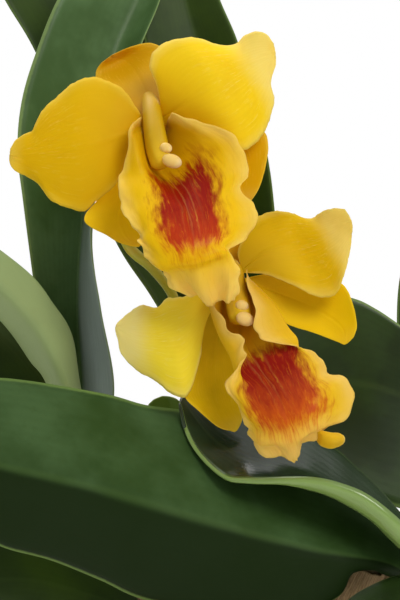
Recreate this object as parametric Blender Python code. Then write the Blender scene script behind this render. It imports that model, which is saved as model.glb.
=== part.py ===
"""A cattleya orchid growing in a clay pot of bark, with two open blooms on one flower stem.

The frame has +Z up and its origin at the centre of the pot's flat underside. The front of the
plant faces -Y. Blooms and leaves are drawn in a front view: a point there is (right, down, near),
where right and down count steps of the drawing from its top left corner and near is how many
millimetres the point stands in front of the pot's axis. Everything else is in millimetres.
"""

import math
import random

import bmesh
import bpy
import numpy as np

MM = 0.001

# The front view: one step is DRAWING_STEP wide at the pot's axis, seen from VIEW_DISTANCE away.
DRAWING_STEP = 0.4
DRAWING_CENTRE = (200, 300)
VIEW_CENTRE_X = -24
VIEW_CENTRE_Z = 255
VIEW_DISTANCE = 1000

# The pot and what fills it.
POT_HEIGHT = 120
POT_BASE_RADIUS = 52
POT_WALL_TOP_RADIUS = 71
POT_RIM_RADIUS = 77
POT_RIM_HEIGHT = 26
POT_WALL = 5
POT_FLOOR = 7
DRAIN_HOLE_RADIUS = 4
DRAIN_HOLE_CIRCLE = 30
DRAIN_HOLES = 3
POT_EDGE = 1.5
BARK_TOP = 104
BARK_CHIPS = 40
BARK_CHIP_SIZES = (7, 15)
BARK_CHIP_WIDTHS = (0.5, 0.8)
BARK_CHIP_HEIGHTS = (0.25, 0.45)
BARK_CHIP_CORNERS = (0.7, 1)
BARK_CHIP_LEAN = 0.45
BARK_CHIP_RISE = 1.6
BARK_CHIP_TURN = 2.4
SEAT_GAP = 0.5

# The parts of the plant.
RHIZOME_RADII = [3.6, 4.6, 4.6, 3.6]
RHIZOME_HEIGHT = 106
ROOT_RADII = [1.7, 1.6, 1.4]
PSEUDOBULB_NECK = 3.6
PSEUDOBULB_BELLY = 8.5
SHEATH_THICKNESS = 0.7
SHEATH_CLEARANCE = 1.0
SHEATH_FLARE = 1.2
SHEATH_RAGGED = 1.5
SHEATH_SPAN = (0.1, 0.85)
SHEATH_WRAP = 110
TEPAL_THICKNESS = 0.8
LIP_THICKNESS = 0.8
LEAF_THICKNESS = 2.2
LEAF_EDGE_SHARE = 0.5
LEAF_FOLD = 1.4
TEPAL_CUP = 2
TIP_SHARE = 0.985
FLOWER_STEM_RADII = [2.6, 2.4, 2.2, 2.2, 3.4]
STALK_RADII = [2.0, 1.9, 2.2, 2.6, 2.2, 1.8]
COLUMN_RADII = [2.4, 3.8, 4.8, 5.3, 5.3, 4.2]
UPPER_BLOOM_NEAR = 45
LOWER_BLOOM_NEAR = 52

# How finely each shape is divided.
TEPAL_GRID = (11, 6)
LIP_STEPS = (2, 2)
LEAF_GRID = (13, 4)
SHEATH_GRID = (5, 8)
SPLINE_STEPS = 16
ROUND_SEGMENTS = 40
CREASE_ANGLE = 35


def clear_scene():
    for obj in list(bpy.data.objects):
        bpy.data.objects.remove(obj, do_unlink=True)


def finish(name, colour, roughness):
    """A material of one colour."""
    material = bpy.data.materials.new(name)
    material.use_nodes = True
    shader = material.node_tree.nodes["Principled BSDF"]
    shader.inputs["Base Color"].default_value = (*colour, 1)
    shader.inputs["Roughness"].default_value = roughness
    shader.inputs["Metallic"].default_value = 0
    return material


def seen_at(right, down, near):
    """Where a point of the front view stands, in millimetres."""
    step = DRAWING_STEP * (1 - near / VIEW_DISTANCE)
    return (
        VIEW_CENTRE_X + (right - DRAWING_CENTRE[0]) * step,
        -near,
        VIEW_CENTRE_Z + (DRAWING_CENTRE[1] - down) * step,
    )


def drawn(points, near=0):
    """A curve of the front view, with its nearness counted from the given one."""
    return [seen_at(right, down, near + out) for right, down, out in points]


def spline_point(a, b, c, d, t):
    return 0.5 * (
        2 * b + (c - a) * t + (2 * a - 5 * b + 4 * c - d) * t**2 + (3 * b - a - 3 * c + d) * t**3
    )


def padded(knots):
    return np.concatenate([2 * knots[:1] - knots[1:2], knots, 2 * knots[-1:] - knots[-2:-1]])


def through(points, count, end=1.0):
    """Points evenly spaced along a smooth curve through the given ones, up to a share of it."""
    knots = np.array(points, float)
    ends = padded(knots)
    fine = [
        spline_point(*ends[i : i + 4], t)
        for i in range(len(knots) - 1)
        for t in np.linspace(0, 1, SPLINE_STEPS, endpoint=False)
    ]
    fine = np.array(fine + [knots[-1]])
    along = np.concatenate([[0], np.cumsum(np.linalg.norm(np.diff(fine, axis=0), axis=1))])
    wanted = np.linspace(0, along[-1] * end, count)
    return np.column_stack([np.interp(wanted, along, fine[:, axis]) for axis in range(3)])


def lofted(stations, steps):
    """Smooth rows through the stations, with this many rows from each one to the next."""
    ends = padded(np.array(stations, float))
    rows = [
        spline_point(*ends[i : i + 4], t)
        for i in range(len(stations) - 1)
        for t in np.linspace(0, 1, steps, endpoint=False)
    ]
    return np.array(rows + [ends[-2]])


def mesh_object(name, points, faces, material, smooth=True):
    mesh = bpy.data.meshes.new(name)
    mesh.from_pydata([tuple(MM * value for value in point) for point in points], [], faces)
    mesh.materials.append(material)
    if smooth:
        mesh.shade_smooth()
    obj = bpy.data.objects.new(name, mesh)
    bpy.context.scene.collection.objects.link(obj)
    return obj


def surface_normals(grid):
    along = np.gradient(grid, axis=0)
    across = np.gradient(grid, axis=1)
    normals = np.cross(along, across)
    return normals / np.linalg.norm(normals, axis=2, keepdims=True)


def blade(name, grid, thickness, material):
    """A closed thin solid round a grid of points, split into triangles alike on both faces."""
    rows, columns = grid.shape[:2]
    offset = surface_normals(grid) * np.asarray(thickness)[..., None] / 2
    points = np.vstack([(grid + offset).reshape(-1, 3), (grid - offset).reshape(-1, 3)])
    back = rows * columns
    faces = []
    for i in range(rows - 1):
        for j in range(columns - 1):
            a = i * columns + j
            b = a + 1
            c = a + columns + 1
            d = a + columns
            faces += [(a, d, c), (a, c, b)]
            faces += [(back + a, back + c, back + d), (back + a, back + b, back + c)]
    rim = list(range(columns))
    rim += [i * columns + columns - 1 for i in range(1, rows)]
    rim += [(rows - 1) * columns + j for j in range(columns - 2, -1, -1)]
    rim += [i * columns for i in range(rows - 2, 0, -1)]
    for a, b in zip(rim, rim[1:] + rim[:1]):
        faces += [(a, b, back + b), (a, back + b, back + a)]
    return mesh_object(name, points, faces, material)


def across_blade(left, middle, right, columns, bend):
    """Rows from the left margin over the midrib to the right one; bend 1 folds it, 2 cups it."""
    share = np.linspace(-1, 1, columns + 1)[None, :, None]
    side = (right - left)[:, None, :] / 2
    rise = ((left + right) / 2 - middle)[:, None, :]
    return middle[:, None, :] + share * side + np.abs(share) ** bend * rise


def ruffled(grid, height, waves, phase=0.0):
    """The blade with its margins waved, more towards its tip than at its base."""
    rows, columns = grid.shape[:2]
    along = np.linspace(0, 1, rows)[:, None]
    across = np.linspace(-1, 1, columns)[None, :]
    wave = np.sin(2 * math.pi * waves * along + phase + 1.3 * across)
    lift = height * np.abs(across) ** 3 * wave * np.sin(math.pi * along) ** 0.5
    return grid + surface_normals(grid) * lift[..., None]


def tepal(name, near, left, middle, right, material, ruffle=(0.0, 1.0, 0.0)):
    """A petal or a sepal from its two margins and its midrib."""
    rows, columns = TEPAL_GRID
    curves = [through(drawn(curve, near), rows + 1, TIP_SHARE) for curve in (left, middle, right)]
    grid = ruffled(across_blade(*curves, columns, TEPAL_CUP), *ruffle)
    return blade(name, grid, np.full(grid.shape[:2], TEPAL_THICKNESS), material)


def lip(name, near, stations, material, frill):
    """The lip, lofted through cross-sections from its throat to its front edge."""
    sections = lofted([drawn(section, near) for section in stations], LIP_STEPS[0])
    grid = np.array([lofted(section, LIP_STEPS[1]) for section in sections])
    grid = ruffled(grid, *frill)
    return blade(name, grid, np.full(grid.shape[:2], LIP_THICKNESS), material)


def leaf(name, left, middle, right, material):
    """A strap leaf, folded along its midrib and thinner at its margins."""
    rows, columns = LEAF_GRID
    curves = [through(drawn(curve), rows + 1, TIP_SHARE) for curve in (left, middle, right)]
    grid = across_blade(*curves, columns, LEAF_FOLD)
    across = np.linspace(-1, 1, columns + 1)[None, :]
    thickness = LEAF_THICKNESS * (1 - (1 - LEAF_EDGE_SHARE) * across**2)
    return blade(name, grid, np.repeat(thickness, rows + 1, axis=0), material)


def heading(step):
    return step / np.linalg.norm(step)


def stalk_frames(centres):
    """A right-angled pair of directions at each point of a curve, turning as little as they can."""
    tangents = np.gradient(centres, axis=0)
    tangents /= np.linalg.norm(tangents, axis=1, keepdims=True)
    side = np.cross(tangents[0], (0.3, 1.0, 0.1))
    frames = []
    for tangent in tangents:
        side = side - tangent * side.dot(tangent)
        side /= np.linalg.norm(side)
        frames.append((side, np.cross(tangent, side)))
    return frames


def stalk(name, points, radii, material, rings=8, sides=8, grow=0.0):
    """A round solid along a smooth curve, its radius running smoothly through the given ones."""
    centres = through(points, rings + 1)
    centres[0] += grow * heading(centres[0] - centres[1])
    centres[-1] += grow * heading(centres[-1] - centres[-2])
    shares = np.linspace(0, 1, rings + 1)
    widths = np.interp(shares, np.linspace(0, 1, len(radii)), radii) + grow
    vertices = []
    for centre, radius, (side, up) in zip(centres, widths, stalk_frames(centres)):
        for k in range(sides):
            angle = 2 * math.pi * k / sides
            vertices.append(centre + radius * (math.cos(angle) * side + math.sin(angle) * up))
    faces = []
    for i in range(rings):
        for k in range(sides):
            a = i * sides + k
            b = i * sides + (k + 1) % sides
            faces.append((a, b, b + sides, a + sides))
    faces.append(tuple(range(sides - 1, -1, -1)))
    faces.append(tuple(rings * sides + k for k in range(sides)))
    return mesh_object(name, vertices, faces, material)


def fused(target, others, operation="UNION", solver="EXACT"):
    """Joins others to the target or cuts them from it, and removes them."""
    tools = bpy.data.collections.new("tools")
    bpy.context.scene.collection.children.link(tools)
    for obj in others:
        bpy.context.scene.collection.objects.unlink(obj)
        tools.objects.link(obj)
    modifier = target.modifiers.new("fuse", "BOOLEAN")
    modifier.operation = operation
    modifier.operand_type = "COLLECTION"
    modifier.collection = tools
    modifier.solver = solver
    graph = bpy.context.evaluated_depsgraph_get()
    joined = bpy.data.meshes.new_from_object(target.evaluated_get(graph))
    target.modifiers.remove(modifier)
    target.data = joined
    for obj in others:
        bpy.data.objects.remove(obj, do_unlink=True)
    bpy.data.collections.remove(tools)
    return target


def without_crumbs(obj):
    """Keeps the largest connected body of the mesh and drops the crumbs that a cut left."""
    solid = bmesh.new()
    solid.from_mesh(obj.data)
    unseen = set(solid.verts)
    bodies = []
    while unseen:
        body = set()
        edge = [unseen.pop()]
        while edge:
            vertex = edge.pop()
            body.add(vertex)
            near = {link.other_vert(vertex) for link in vertex.link_edges} & unseen
            unseen -= near
            edge.extend(near)
        bodies.append(body)
    bodies.sort(key=len)
    crumbs = [vertex for body in bodies[:-1] for vertex in body]
    bmesh.ops.delete(solid, geom=crumbs, context="VERTS")
    solid.to_mesh(obj.data)
    solid.free()
    return obj


def turned(name, profile, material, segments=ROUND_SEGMENTS):
    """A solid turned round the Z axis from (radius, height) pairs, up its outer side first."""
    vertices = []
    for radius, height in profile:
        for k in range(segments):
            angle = 2 * math.pi * k / segments
            vertices.append((radius * math.cos(angle), radius * math.sin(angle), height))
    faces = []
    rings = len(profile)
    for i in range(rings - 1):
        for k in range(segments):
            a = i * segments + k
            b = i * segments + (k + 1) % segments
            faces.append((a, b, b + segments, a + segments))
    faces.append(tuple(range(segments - 1, -1, -1)))
    faces.append(tuple((rings - 1) * segments + k for k in range(segments)))
    obj = mesh_object(name, vertices, faces, material)
    obj.data.set_sharp_from_angle(angle=math.radians(CREASE_ANGLE))
    return obj


def pot_radius(height):
    """The radius of the wall's outer side at a height."""
    share = min(1, height / (POT_HEIGHT - POT_RIM_HEIGHT))
    return POT_BASE_RADIUS + share * (POT_WALL_TOP_RADIUS - POT_BASE_RADIUS)


def make_pot(material):
    rim_bottom = POT_HEIGHT - POT_RIM_HEIGHT
    profile = [
        (POT_BASE_RADIUS - POT_EDGE, 0),
        (POT_BASE_RADIUS, POT_EDGE),
        (pot_radius(rim_bottom), rim_bottom),
        (POT_RIM_RADIUS - POT_EDGE, rim_bottom + POT_EDGE / 2),
        (POT_RIM_RADIUS, rim_bottom + 2 * POT_EDGE),
        (POT_RIM_RADIUS, POT_HEIGHT - POT_EDGE),
        (POT_RIM_RADIUS - POT_EDGE, POT_HEIGHT),
        (POT_RIM_RADIUS - POT_WALL, POT_HEIGHT),
        (POT_RIM_RADIUS - POT_WALL - POT_EDGE, POT_HEIGHT - POT_EDGE),
        (POT_WALL_TOP_RADIUS - POT_WALL, rim_bottom),
        (pot_radius(POT_FLOOR) - POT_WALL, POT_FLOOR),
    ]
    pot = turned("pot", profile, material)
    drains = []
    for k in range(DRAIN_HOLES):
        angle = 2 * math.pi * k / DRAIN_HOLES + math.pi / 6
        x = DRAIN_HOLE_CIRCLE * math.cos(angle)
        y = DRAIN_HOLE_CIRCLE * math.sin(angle)
        ends = [(x, y, -POT_FLOOR), (x, y, 2 * POT_FLOOR)]
        radii = [DRAIN_HOLE_RADIUS, DRAIN_HOLE_RADIUS]
        drains.append(stalk(f"drain_{k}", ends, radii, material, rings=1, sides=12))
    return fused(pot, drains, "DIFFERENCE")


def bark_chip(index, x, y, z, size, draw, material):
    """A broken piece of bark: a flat block with its corners knocked about."""
    width = size * draw.uniform(*BARK_CHIP_WIDTHS)
    height = size * draw.uniform(*BARK_CHIP_HEIGHTS)
    turn = draw.uniform(0, math.pi)
    lean = draw.uniform(-BARK_CHIP_LEAN, BARK_CHIP_LEAN)
    corners = []
    for sx in (-1, 1):
        for sy in (-1, 1):
            for sz in (-1, 1):
                px = sx * size / 2 * draw.uniform(*BARK_CHIP_CORNERS)
                py = sy * width / 2 * draw.uniform(*BARK_CHIP_CORNERS)
                pz = sz * height / 2 + px * math.sin(lean)
                turned_x = px * math.cos(turn) - py * math.sin(turn)
                turned_y = px * math.sin(turn) + py * math.cos(turn)
                corners.append((x + turned_x, y + turned_y, z + pz))
    faces = [(0, 1, 3, 2), (4, 6, 7, 5), (0, 4, 5, 1), (2, 3, 7, 6), (0, 2, 6, 4), (1, 5, 7, 3)]
    return mesh_object(f"bark_chip_{index}", corners, faces, material, smooth=False)


def make_bark(material, hollows):
    """The potting bark: a filled bed with loose-looking chips on it, hollowed for the rhizome."""
    draw = random.Random(7)
    rim_bottom = POT_HEIGHT - POT_RIM_HEIGHT
    foot = POT_FLOOR + SEAT_GAP
    profile = [
        (pot_radius(foot) - POT_WALL - SEAT_GAP, foot),
        (pot_radius(rim_bottom) - POT_WALL - SEAT_GAP, rim_bottom),
        (pot_radius(rim_bottom) - POT_WALL - SEAT_GAP, BARK_TOP),
    ]
    bed = turned("bark_mix", profile, material)
    reach = POT_WALL_TOP_RADIUS - POT_WALL - 2 * SEAT_GAP
    chips = []
    for index in range(BARK_CHIPS):
        size = draw.uniform(*BARK_CHIP_SIZES)
        radius = (reach - 0.7 * size) * math.sqrt((index + 0.5) / BARK_CHIPS)
        angle = BARK_CHIP_TURN * index
        x = radius * math.cos(angle)
        y = radius * math.sin(angle)
        z = BARK_TOP + draw.uniform(0, BARK_CHIP_RISE)
        chips.append(bark_chip(index, x, y, z, size, draw, material))
    fused(bed, chips, "UNION", "MANIFOLD")
    return without_crumbs(fused(bed, hollows, "DIFFERENCE", "MANIFOLD"))


# Each pseudobulb: where it leaves the rhizome, points on its way, and its top.
PSEUDOBULBS = {
    "pseudobulb_1": [(-38, 10, 110.4), (-52, 10, 145), (-67, 11, 186)],
    "pseudobulb_2": [(0, 30, 110.3), (-2, 36, 150), (-7, 40, 193)],
    "pseudobulb_3": [(-10, -4, 110.4), (-13, -4, 140), (-18, -8, 174)],
    "pseudobulb_4": [(12, -2, 110.6), (11, -3, 150), (5, -6, 193)],
    "pseudobulb_5": [(48, -8, 111.4), (58, -12, 128), (68, -20, 148)],
    "pseudobulb_6": [(43, -22, 111.9), (50, -30, 128), (58, -40, 146.7)],
    "pseudobulb_7": [(18, -45, 112.1), (18, -47, 114.5), (20, -53, 118.5)],
    "pseudobulb_8": [(-26, -34, 111.3), (-28, -34, 114.5), (-34, -36, 120.5), (-44.5, -36, 132)],
    "pseudobulb_9": [(-32, -12, 110.6), (-42, -13, 136), (-60, -17, 164)],
    "pseudobulb_10": [(50, 14, 110.5), (58, 13, 128), (69, 10, 147)],
    "pseudobulb_11": [(27, -37, 111.3), (33, -38, 134), (43, -39, 160)],
}

# The pseudobulbs that still carry their dry sheath.
SHEATHED = ["pseudobulb_1", "pseudobulb_3", "pseudobulb_4", "pseudobulb_9", "pseudobulb_11"]

# The rhizome creeps from each pseudobulb to the next.
RHIZOME_RUNS = [
    [(50, 22), (48, -8), (38, -28), (18, -44), (-4, -42), (-26, -34), (-32, -12), (-40, 18)],
    [(48, -8), (30, -6), (12, -2), (4, 14), (0, 38)],
    [(12, -2), (0, -2), (-16, -5)],
]

ROOTS = [
    [(-30, -30, 107), (-38, -40, 111), (-45, -40, 108), (-50, -34, 98)],
    [(18, -46, 107), (12, -54, 111), (3, -58, 108), (-4, -57, 98)],
    [(44, -22, 107), (53, -27, 111), (57, -18, 108), (56, -8, 98)],
    [(0, 34, 107), (12, 46, 111), (12, 55, 108), (4, 57, 98)],
    [(-38, 14, 107), (-47, 22, 111), (-46, 34, 108), (-40, 42, 98)],
]

# The leaves: left margin, midrib and right margin, from the base to the tip.
LEAVES = {
    "leaf_left_upright": (
        [(81, 470, -7), (50, 400, -4), (38, 300, -2), (26, 200, -4), (20, 150, -6), (22, 100, -8),
         (37, 50, -12), (60, -5, -18), (95, -55, -26), (140, -92, -34), (180, -110, -40)],
        [(84, 470, -12), (82, 385, -16), (78, 300, -20), (84, 212, -24), (92, 150, -26),
         (102, 100, -28), (117, 48, -32), (137, 0, -37), (160, -55, -41), (180, -110, -40)],
        [(91, 470, -7), (117, 395, 6), (101, 310, 8), (91, 240, 7), (97, 170, 0), (115, 110, -10),
         (142, 43, -22), (160, 0, -30), (176, -55, -38), (180, -110, -40)],
    ),
    "leaf_back_left": (
        [(226, 448.5, -40), (200, 380, -42), (158, 300, -40), (120, 243, -40), (75, 150, -42),
         (37, 55, -46), (5, 0, -50), (-20, -50, -54), (-30, -90, -58), (-15, -130, -60)],
        [(230, 449.5, -45), (226, 380, -52), (205, 300, -54), (175, 230, -56), (130, 130, -60),
         (90, 40, -64), (50, -30, -66), (15, -90, -64), (-15, -130, -60)],
        [(235, 448.5, -43), (258, 380, -44), (252, 300, -44), (232, 220, -44), (188, 110, -46),
         (145, 15, -50), (95, -50, -56), (40, -105, -60), (-15, -130, -60)],
    ),
    "leaf_back_right": (
        [(238, 446, -34), (222, 380, -26), (212, 300, -24), (200, 215, -24), (178, 140, -26),
         (150, 60, -34), (137, 0, -44), (141, -45, -52), (176, -85, -58)],
        [(242, 447, -38), (245, 380, -38), (243, 300, -38), (232, 215, -38), (222, 140, -40),
         (202, 60, -44), (186, 0, -50), (178, -45, -55), (176, -85, -58)],
        [(247, 446, -34), (275, 380, -24), (283, 300, -20), (275, 215, -20), (269, 165, -20),
         (256, 100, -25), (237, 40, -32), (220, 0, -40), (204, -45, -50), (176, -85, -58)],
    ),
    "leaf_left_arching": (
        [(104, 528, 19), (75, 460, 26), (47, 385, 28), (30, 361, 30), (10, 332, 34),
         (-10, 312, 38), (-50, 288, 44), (-90, 268, 50), (-120, 235, 56)],
        [(108, 528, 21), (88, 460, 32), (66, 387, 40), (46, 340, 46), (20, 305, 52),
         (-5, 282, 56), (-45, 258, 60), (-85, 245, 60), (-120, 235, 56)],
        [(112, 528, 18), (97, 460, 17), (81, 390, 18), (72, 335, 22), (52, 302, 28),
         (33, 277, 32), (0, 250, 38), (-40, 222, 42), (-80, 214, 48), (-120, 235, 56)],
    ),
    "leaf_left_low": (
        [(99, 528, 14), (50, 460, 14), (0, 405, 16), (-60, 350, 20), (-110, 322, 22),
         (-150, 310, 24)],
        [(103, 528, 13), (70, 430, 6), (20, 352, 6), (-40, 302, 10), (-100, 290, 16),
         (-150, 310, 24)],
        [(107, 528, 13), (85, 420, 4), (50, 345, 0), (10, 300, 2), (-50, 264, 6),
         (-110, 264, 14), (-150, 310, 24)],
    ),
    "leaf_front_broad": (
        [(413, 583, 42), (397, 580, 48), (384, 574, 52), (370, 569, 56), (350, 573, 59),
         (333, 592, 61), (290, 616, 62), (230, 618, 63), (145, 600, 66), (100, 580, 70),
         (50, 560, 76), (0, 546, 82), (-40, 520, 86),
         (-80, 470, 90)],
        [(413.5, 580, 43.5), (390, 565, 54), (345, 556, 62), (300, 547, 64), (200, 520, 74),
         (100, 490, 84), (0, 466, 92), (-50, 455, 94), (-80, 440, 92)],
        [(416, 578, 40.5), (418, 558, 38), (400, 530, 36), (350, 492, 35), (300, 470, 36),
         (250, 450, 37), (215, 428, 37),
         (190, 412, 38), (145, 405, 45), (100, 393, 54), (0, 378, 70), (-50, 388, 82),
         (-80, 420, 90)],
    ),
    "leaf_front_right": (
        [(441, 571, 22), (430, 572, 48), (415, 556, 70), (400, 537, 76), (370, 509, 77),
         (330, 488, 76), (290, 482, 74), (250, 482, 70), (225, 477, 66), (200, 455, 58),
         (186, 430, 50), (179, 400, 42)],
        [(436, 571, 22), (424, 566, 44), (402, 548, 60), (360, 508, 62), (310, 476, 60),
         (260, 456, 56), (225, 440, 50), (200, 418, 44), (180, 396, 41)],
        [(437, 569, 18), (425, 540, 34), (400, 512, 42), (378, 487, 42), (353, 464, 40),
         (334, 447, 38), (295, 420, 34), (250, 400, 32), (210, 390, 34), (181, 393, 40)],
    ),
    "leaf_right_arching": (
        [(278, 451, 5), (310, 462, 16), (360, 492, 22), (420, 512, 24), (470, 495, 22),
         (505, 462, 20), (520, 440, 20)],
        [(273, 450, 3), (288, 415, 2), (325, 385, 4), (370, 385, 10), (420, 402, 14),
         (475, 422, 18), (520, 440, 20)],
        [(268, 451, 5), (262, 400, 12), (276, 330, 14), (310, 292, 14), (352, 298, 14),
         (376, 309, 14), (400, 325, 15), (440, 352, 17), (490, 400, 20), (520, 440, 20)],
    ),
    "leaf_front_left_low": (
        [(146, 616, 38), (95, 640, 42), (20, 645, 50), (-60, 640, 58), (-120, 625, 66)],
        [(144, 613, 36), (90, 596, 38), (20, 580, 44), (-60, 590, 54), (-120, 620, 66)],
        [(146, 609, 34), (100, 560, 30), (20, 530, 36), (-60, 545, 48), (-120, 615, 66)],
    ),
    "leaf_front_right_low": (
        [(318, 652, 52), (333, 622, 54), (347, 601, 56), (370, 586, 57), (400, 575, 58),
         (440, 573, 64), (500, 592, 70), (560, 632, 82), (585, 665, 88)],
        [(321, 655, 56), (345, 628, 66), (385, 612, 74), (440, 610, 82), (510, 630, 90),
         (585, 665, 90)],
        [(325, 656, 58), (355, 650, 78), (400, 645, 92), (450, 648, 100), (520, 660, 100),
         (585, 667, 92)],
    ),
    "leaf_right_upright": (
        [(426, 560, -11), (406, 450, -14), (397, 320, -16), (406, 250, -18), (430, 185, -22),
         (470, 140, -26)],
        [(430, 561, -14), (436, 450, -24), (440, 340, -30), (448, 250, -32), (462, 190, -30),
         (480, 140, -27)],
        [(435, 560, -11), (470, 450, -14), (484, 340, -14), (488, 250, -16), (490, 190, -20),
         (486, 142, -26)],
    ),
}

FLOWER_SHEATH = (
    [(205, 502, 8), (178, 450, 12), (150, 412, 17), (152, 401, 19), (163, 396, 19)],
    [(208, 502, 5), (192, 450, 5), (176, 420, 10), (171, 405, 15), (166, 396, 18)],
    [(211, 502, 6), (202, 450, 9), (187, 415, 15), (179, 401, 18), (170, 397, 19)],
)
FLOWER_STEM = [
    (219.5, 502, 9.5), (217, 460, 15), (209, 420, 20), (198, 375, 24), (189, 342, 25),
    (186, 326, 25),
]
UPPER_STALK = [
    (181, 325, 25), (172, 294, 27), (152, 268, 31), (130, 248, 33), (122, 222, 32),
    (127, 190, 30), (137, 155, 32), (149, 127, 39), (153, 119, 46),
]
LOWER_STALK = [
    (192.4, 321.5, 25), (197, 314, 26), (212, 306, 31), (226, 297, 37), (234, 286, 43),
    (236, 274, 52.4),
]

# Each petal and sepal: left margin, midrib and right margin, in front of its bloom's centre.
UPPER_TEPALS = {
    "dorsal_sepal": (
        [(148, 114.5, -1), (132, 104, -6), (112, 92, -13), (98, 81, -18), (96, 72, -20),
         (101, 64, -20), (110, 57, -19)],
        [(153, 111.5, -1), (146, 92, -10), (136, 72, -20), (124, 60, -25), (110, 56, -21)],
        [(157, 110.5, -1), (164, 92, -8), (169, 70, -16), (167, 52, -21), (152, 43, -23),
         (134, 46, -22), (120, 51, -20), (111, 56, -19)],
    ),
    "left_petal": (
        [(147, 126, 0.6), (142, 117, 1), (136, 108, 2), (127, 95, 2), (118, 85, 2), (107, 80, 1),
         (94, 78, 0), (80, 81, 0), (64, 90, 0), (48, 103, 0), (38, 121, 0), (33, 130, 0),
         (24, 134, 0), (15, 140, -1), (10, 149, -1)],
        [(147, 128, 0.6), (120, 136, 6), (85, 146, 8), (45, 153, 4), (9, 156, -1)],
        [(148, 131, 0.8), (131, 160, 3), (117, 182, 4), (107, 192, 3), (98, 202, 2),
         (86, 212, 1), (75, 210, 1), (60, 204, 1), (48, 195, 1), (38, 185, 1), (25, 176, 0),
         (13, 169, 0), (9, 161, -1)],
    ),
    "right_petal": (
        [(159.2, 115.5, 0.8), (160, 105, 2), (155, 84, 2), (150, 66, 2), (152, 51, 1), (165, 41, 0),
         (182, 39, 0), (202, 41, -1), (220, 43, -3), (235, 43, -3), (245, 36, -1), (255, 32, 1),
         (266, 34, 2), (274, 44, 2)],
        [(160, 119, 0.6), (185, 104, 7), (215, 86, 10), (246, 70, 6), (276, 54, 1)],
        [(161, 123, 0.7), (190, 136, 4), (215, 147, 6), (238, 150, 6), (253, 145, 5),
         (263, 137, 4), (269, 120, 3), (274, 100, 2), (272, 82, 1), (276, 64, 1)],
    ),
    "left_lateral_sepal": (
        [(146, 127, -1), (125, 165, -2), (100, 198, -2), (86, 213, -1), (85, 222, 1),
         (93, 229, 2), (105, 235, 3), (115, 241, 4), (126, 245, 5)],
        [(148.5, 128, -1), (138, 170, -4), (120, 210, -3), (123, 233, 1), (136, 247, 5)],
        [(151, 128.5, -1), (158, 170, -2), (157, 210, -1), (148, 236, 2), (139, 247, 5)],
    ),
    "right_lateral_sepal": (
        [(158.5, 122.5, -1), (195, 119, -3), (235, 124, -3), (262, 130, -1), (268, 142, 0),
         (266, 162, 1), (262, 180, 1), (257, 192, 1), (251, 201, 1)],
        [(157, 125, -1), (200, 141, -4), (233, 165, -4), (248, 203, 0)],
        [(155.5, 127.5, -1), (185, 156, -3), (215, 183, -2), (234, 198, -1), (246, 203, 0)],
    ),
}
LOWER_TEPALS = {
    "dorsal_sepal": (
        [(231, 269.5, -1), (215, 246, -5), (205, 228, -9), (202, 214, -12), (205, 206, -13)],
        [(234, 268, -1), (225, 243, -7), (216, 224, -12), (206, 204, -14)],
        [(238, 269, -1), (241, 245, -5), (233, 226, -9), (220, 211, -12), (209, 204, -13)],
    ),
    "left_petal": (
        [(230, 272, 0.8), (213, 272, 2), (199, 278, 3), (191, 287, 3), (187, 297, 2),
         (178, 299, 1), (166, 299, 0), (155, 306, 0), (140, 306, 0), (128, 313, 0), (117, 323, 0)],
        [(229.5, 275, 0.6), (212, 298, 2.5), (182, 330, 6), (145, 336, 5), (115, 327, 0)],
        [(229.5, 279.5, 0.8), (216, 300, 1), (203, 330, 1.5), (198, 360, 1.5), (195, 384, 2),
         (188, 396, 3), (180, 397, 3), (170, 392, 2), (155, 380, 1), (135, 370, 0),
         (122, 355, 0), (118, 340, 0), (115, 331, 0)],
    ),
    "right_petal": (
        [(240.6, 267, 0.8), (238, 250, 1), (246, 228, 1), (259, 217, 1), (275, 211, 0),
         (289, 212, -2), (301, 216, -3), (312, 217, -3), (322, 212, -1), (333, 208, 1),
         (345, 209, 1)],
        [(242, 270, 0.6), (265, 252, -1), (295, 244, -3), (325, 237, 0), (352, 221, 1)],
        [(241.2, 273, 0.8), (262, 274, 2), (280, 278, 3), (295, 287, 4), (310, 294, 4),
         (322, 297, 4), (334, 294, 4), (341, 286, 4), (345, 272, 3), (350, 252, 2),
         (352, 232, 1)],
    ),
    "left_lateral_sepal": (
        [(229, 283.5, -1), (209, 305, -3), (195, 345, -3), (188, 378, -2), (184, 396, 0),
         (198, 411, 3), (218, 427, 3), (232, 430, 2)],
        [(233, 285.5, -1), (219, 325, -6), (212, 375, -7), (220, 410, -3), (237, 431, 1)],
        [(236, 284.5, -1), (235, 325, -3), (239, 370, -4), (243, 400, -3), (242, 421, -1)],
    ),
    "right_lateral_sepal": (
        [(243, 278.5, -1), (270, 274, -4), (300, 277, -4), (330, 280, -3), (344, 286, -1),
         (352, 303, 0), (357, 325, 0), (354, 337, 1)],
        [(242, 281.5, -1), (275, 292, -6), (310, 306, -6), (340, 325, -3), (347, 344, 1)],
        [(240, 284, -1), (257, 301, -3), (282, 321, -3), (310, 332, -2), (330, 339, -1),
         (343, 344, 1)],
    ),
}

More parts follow.
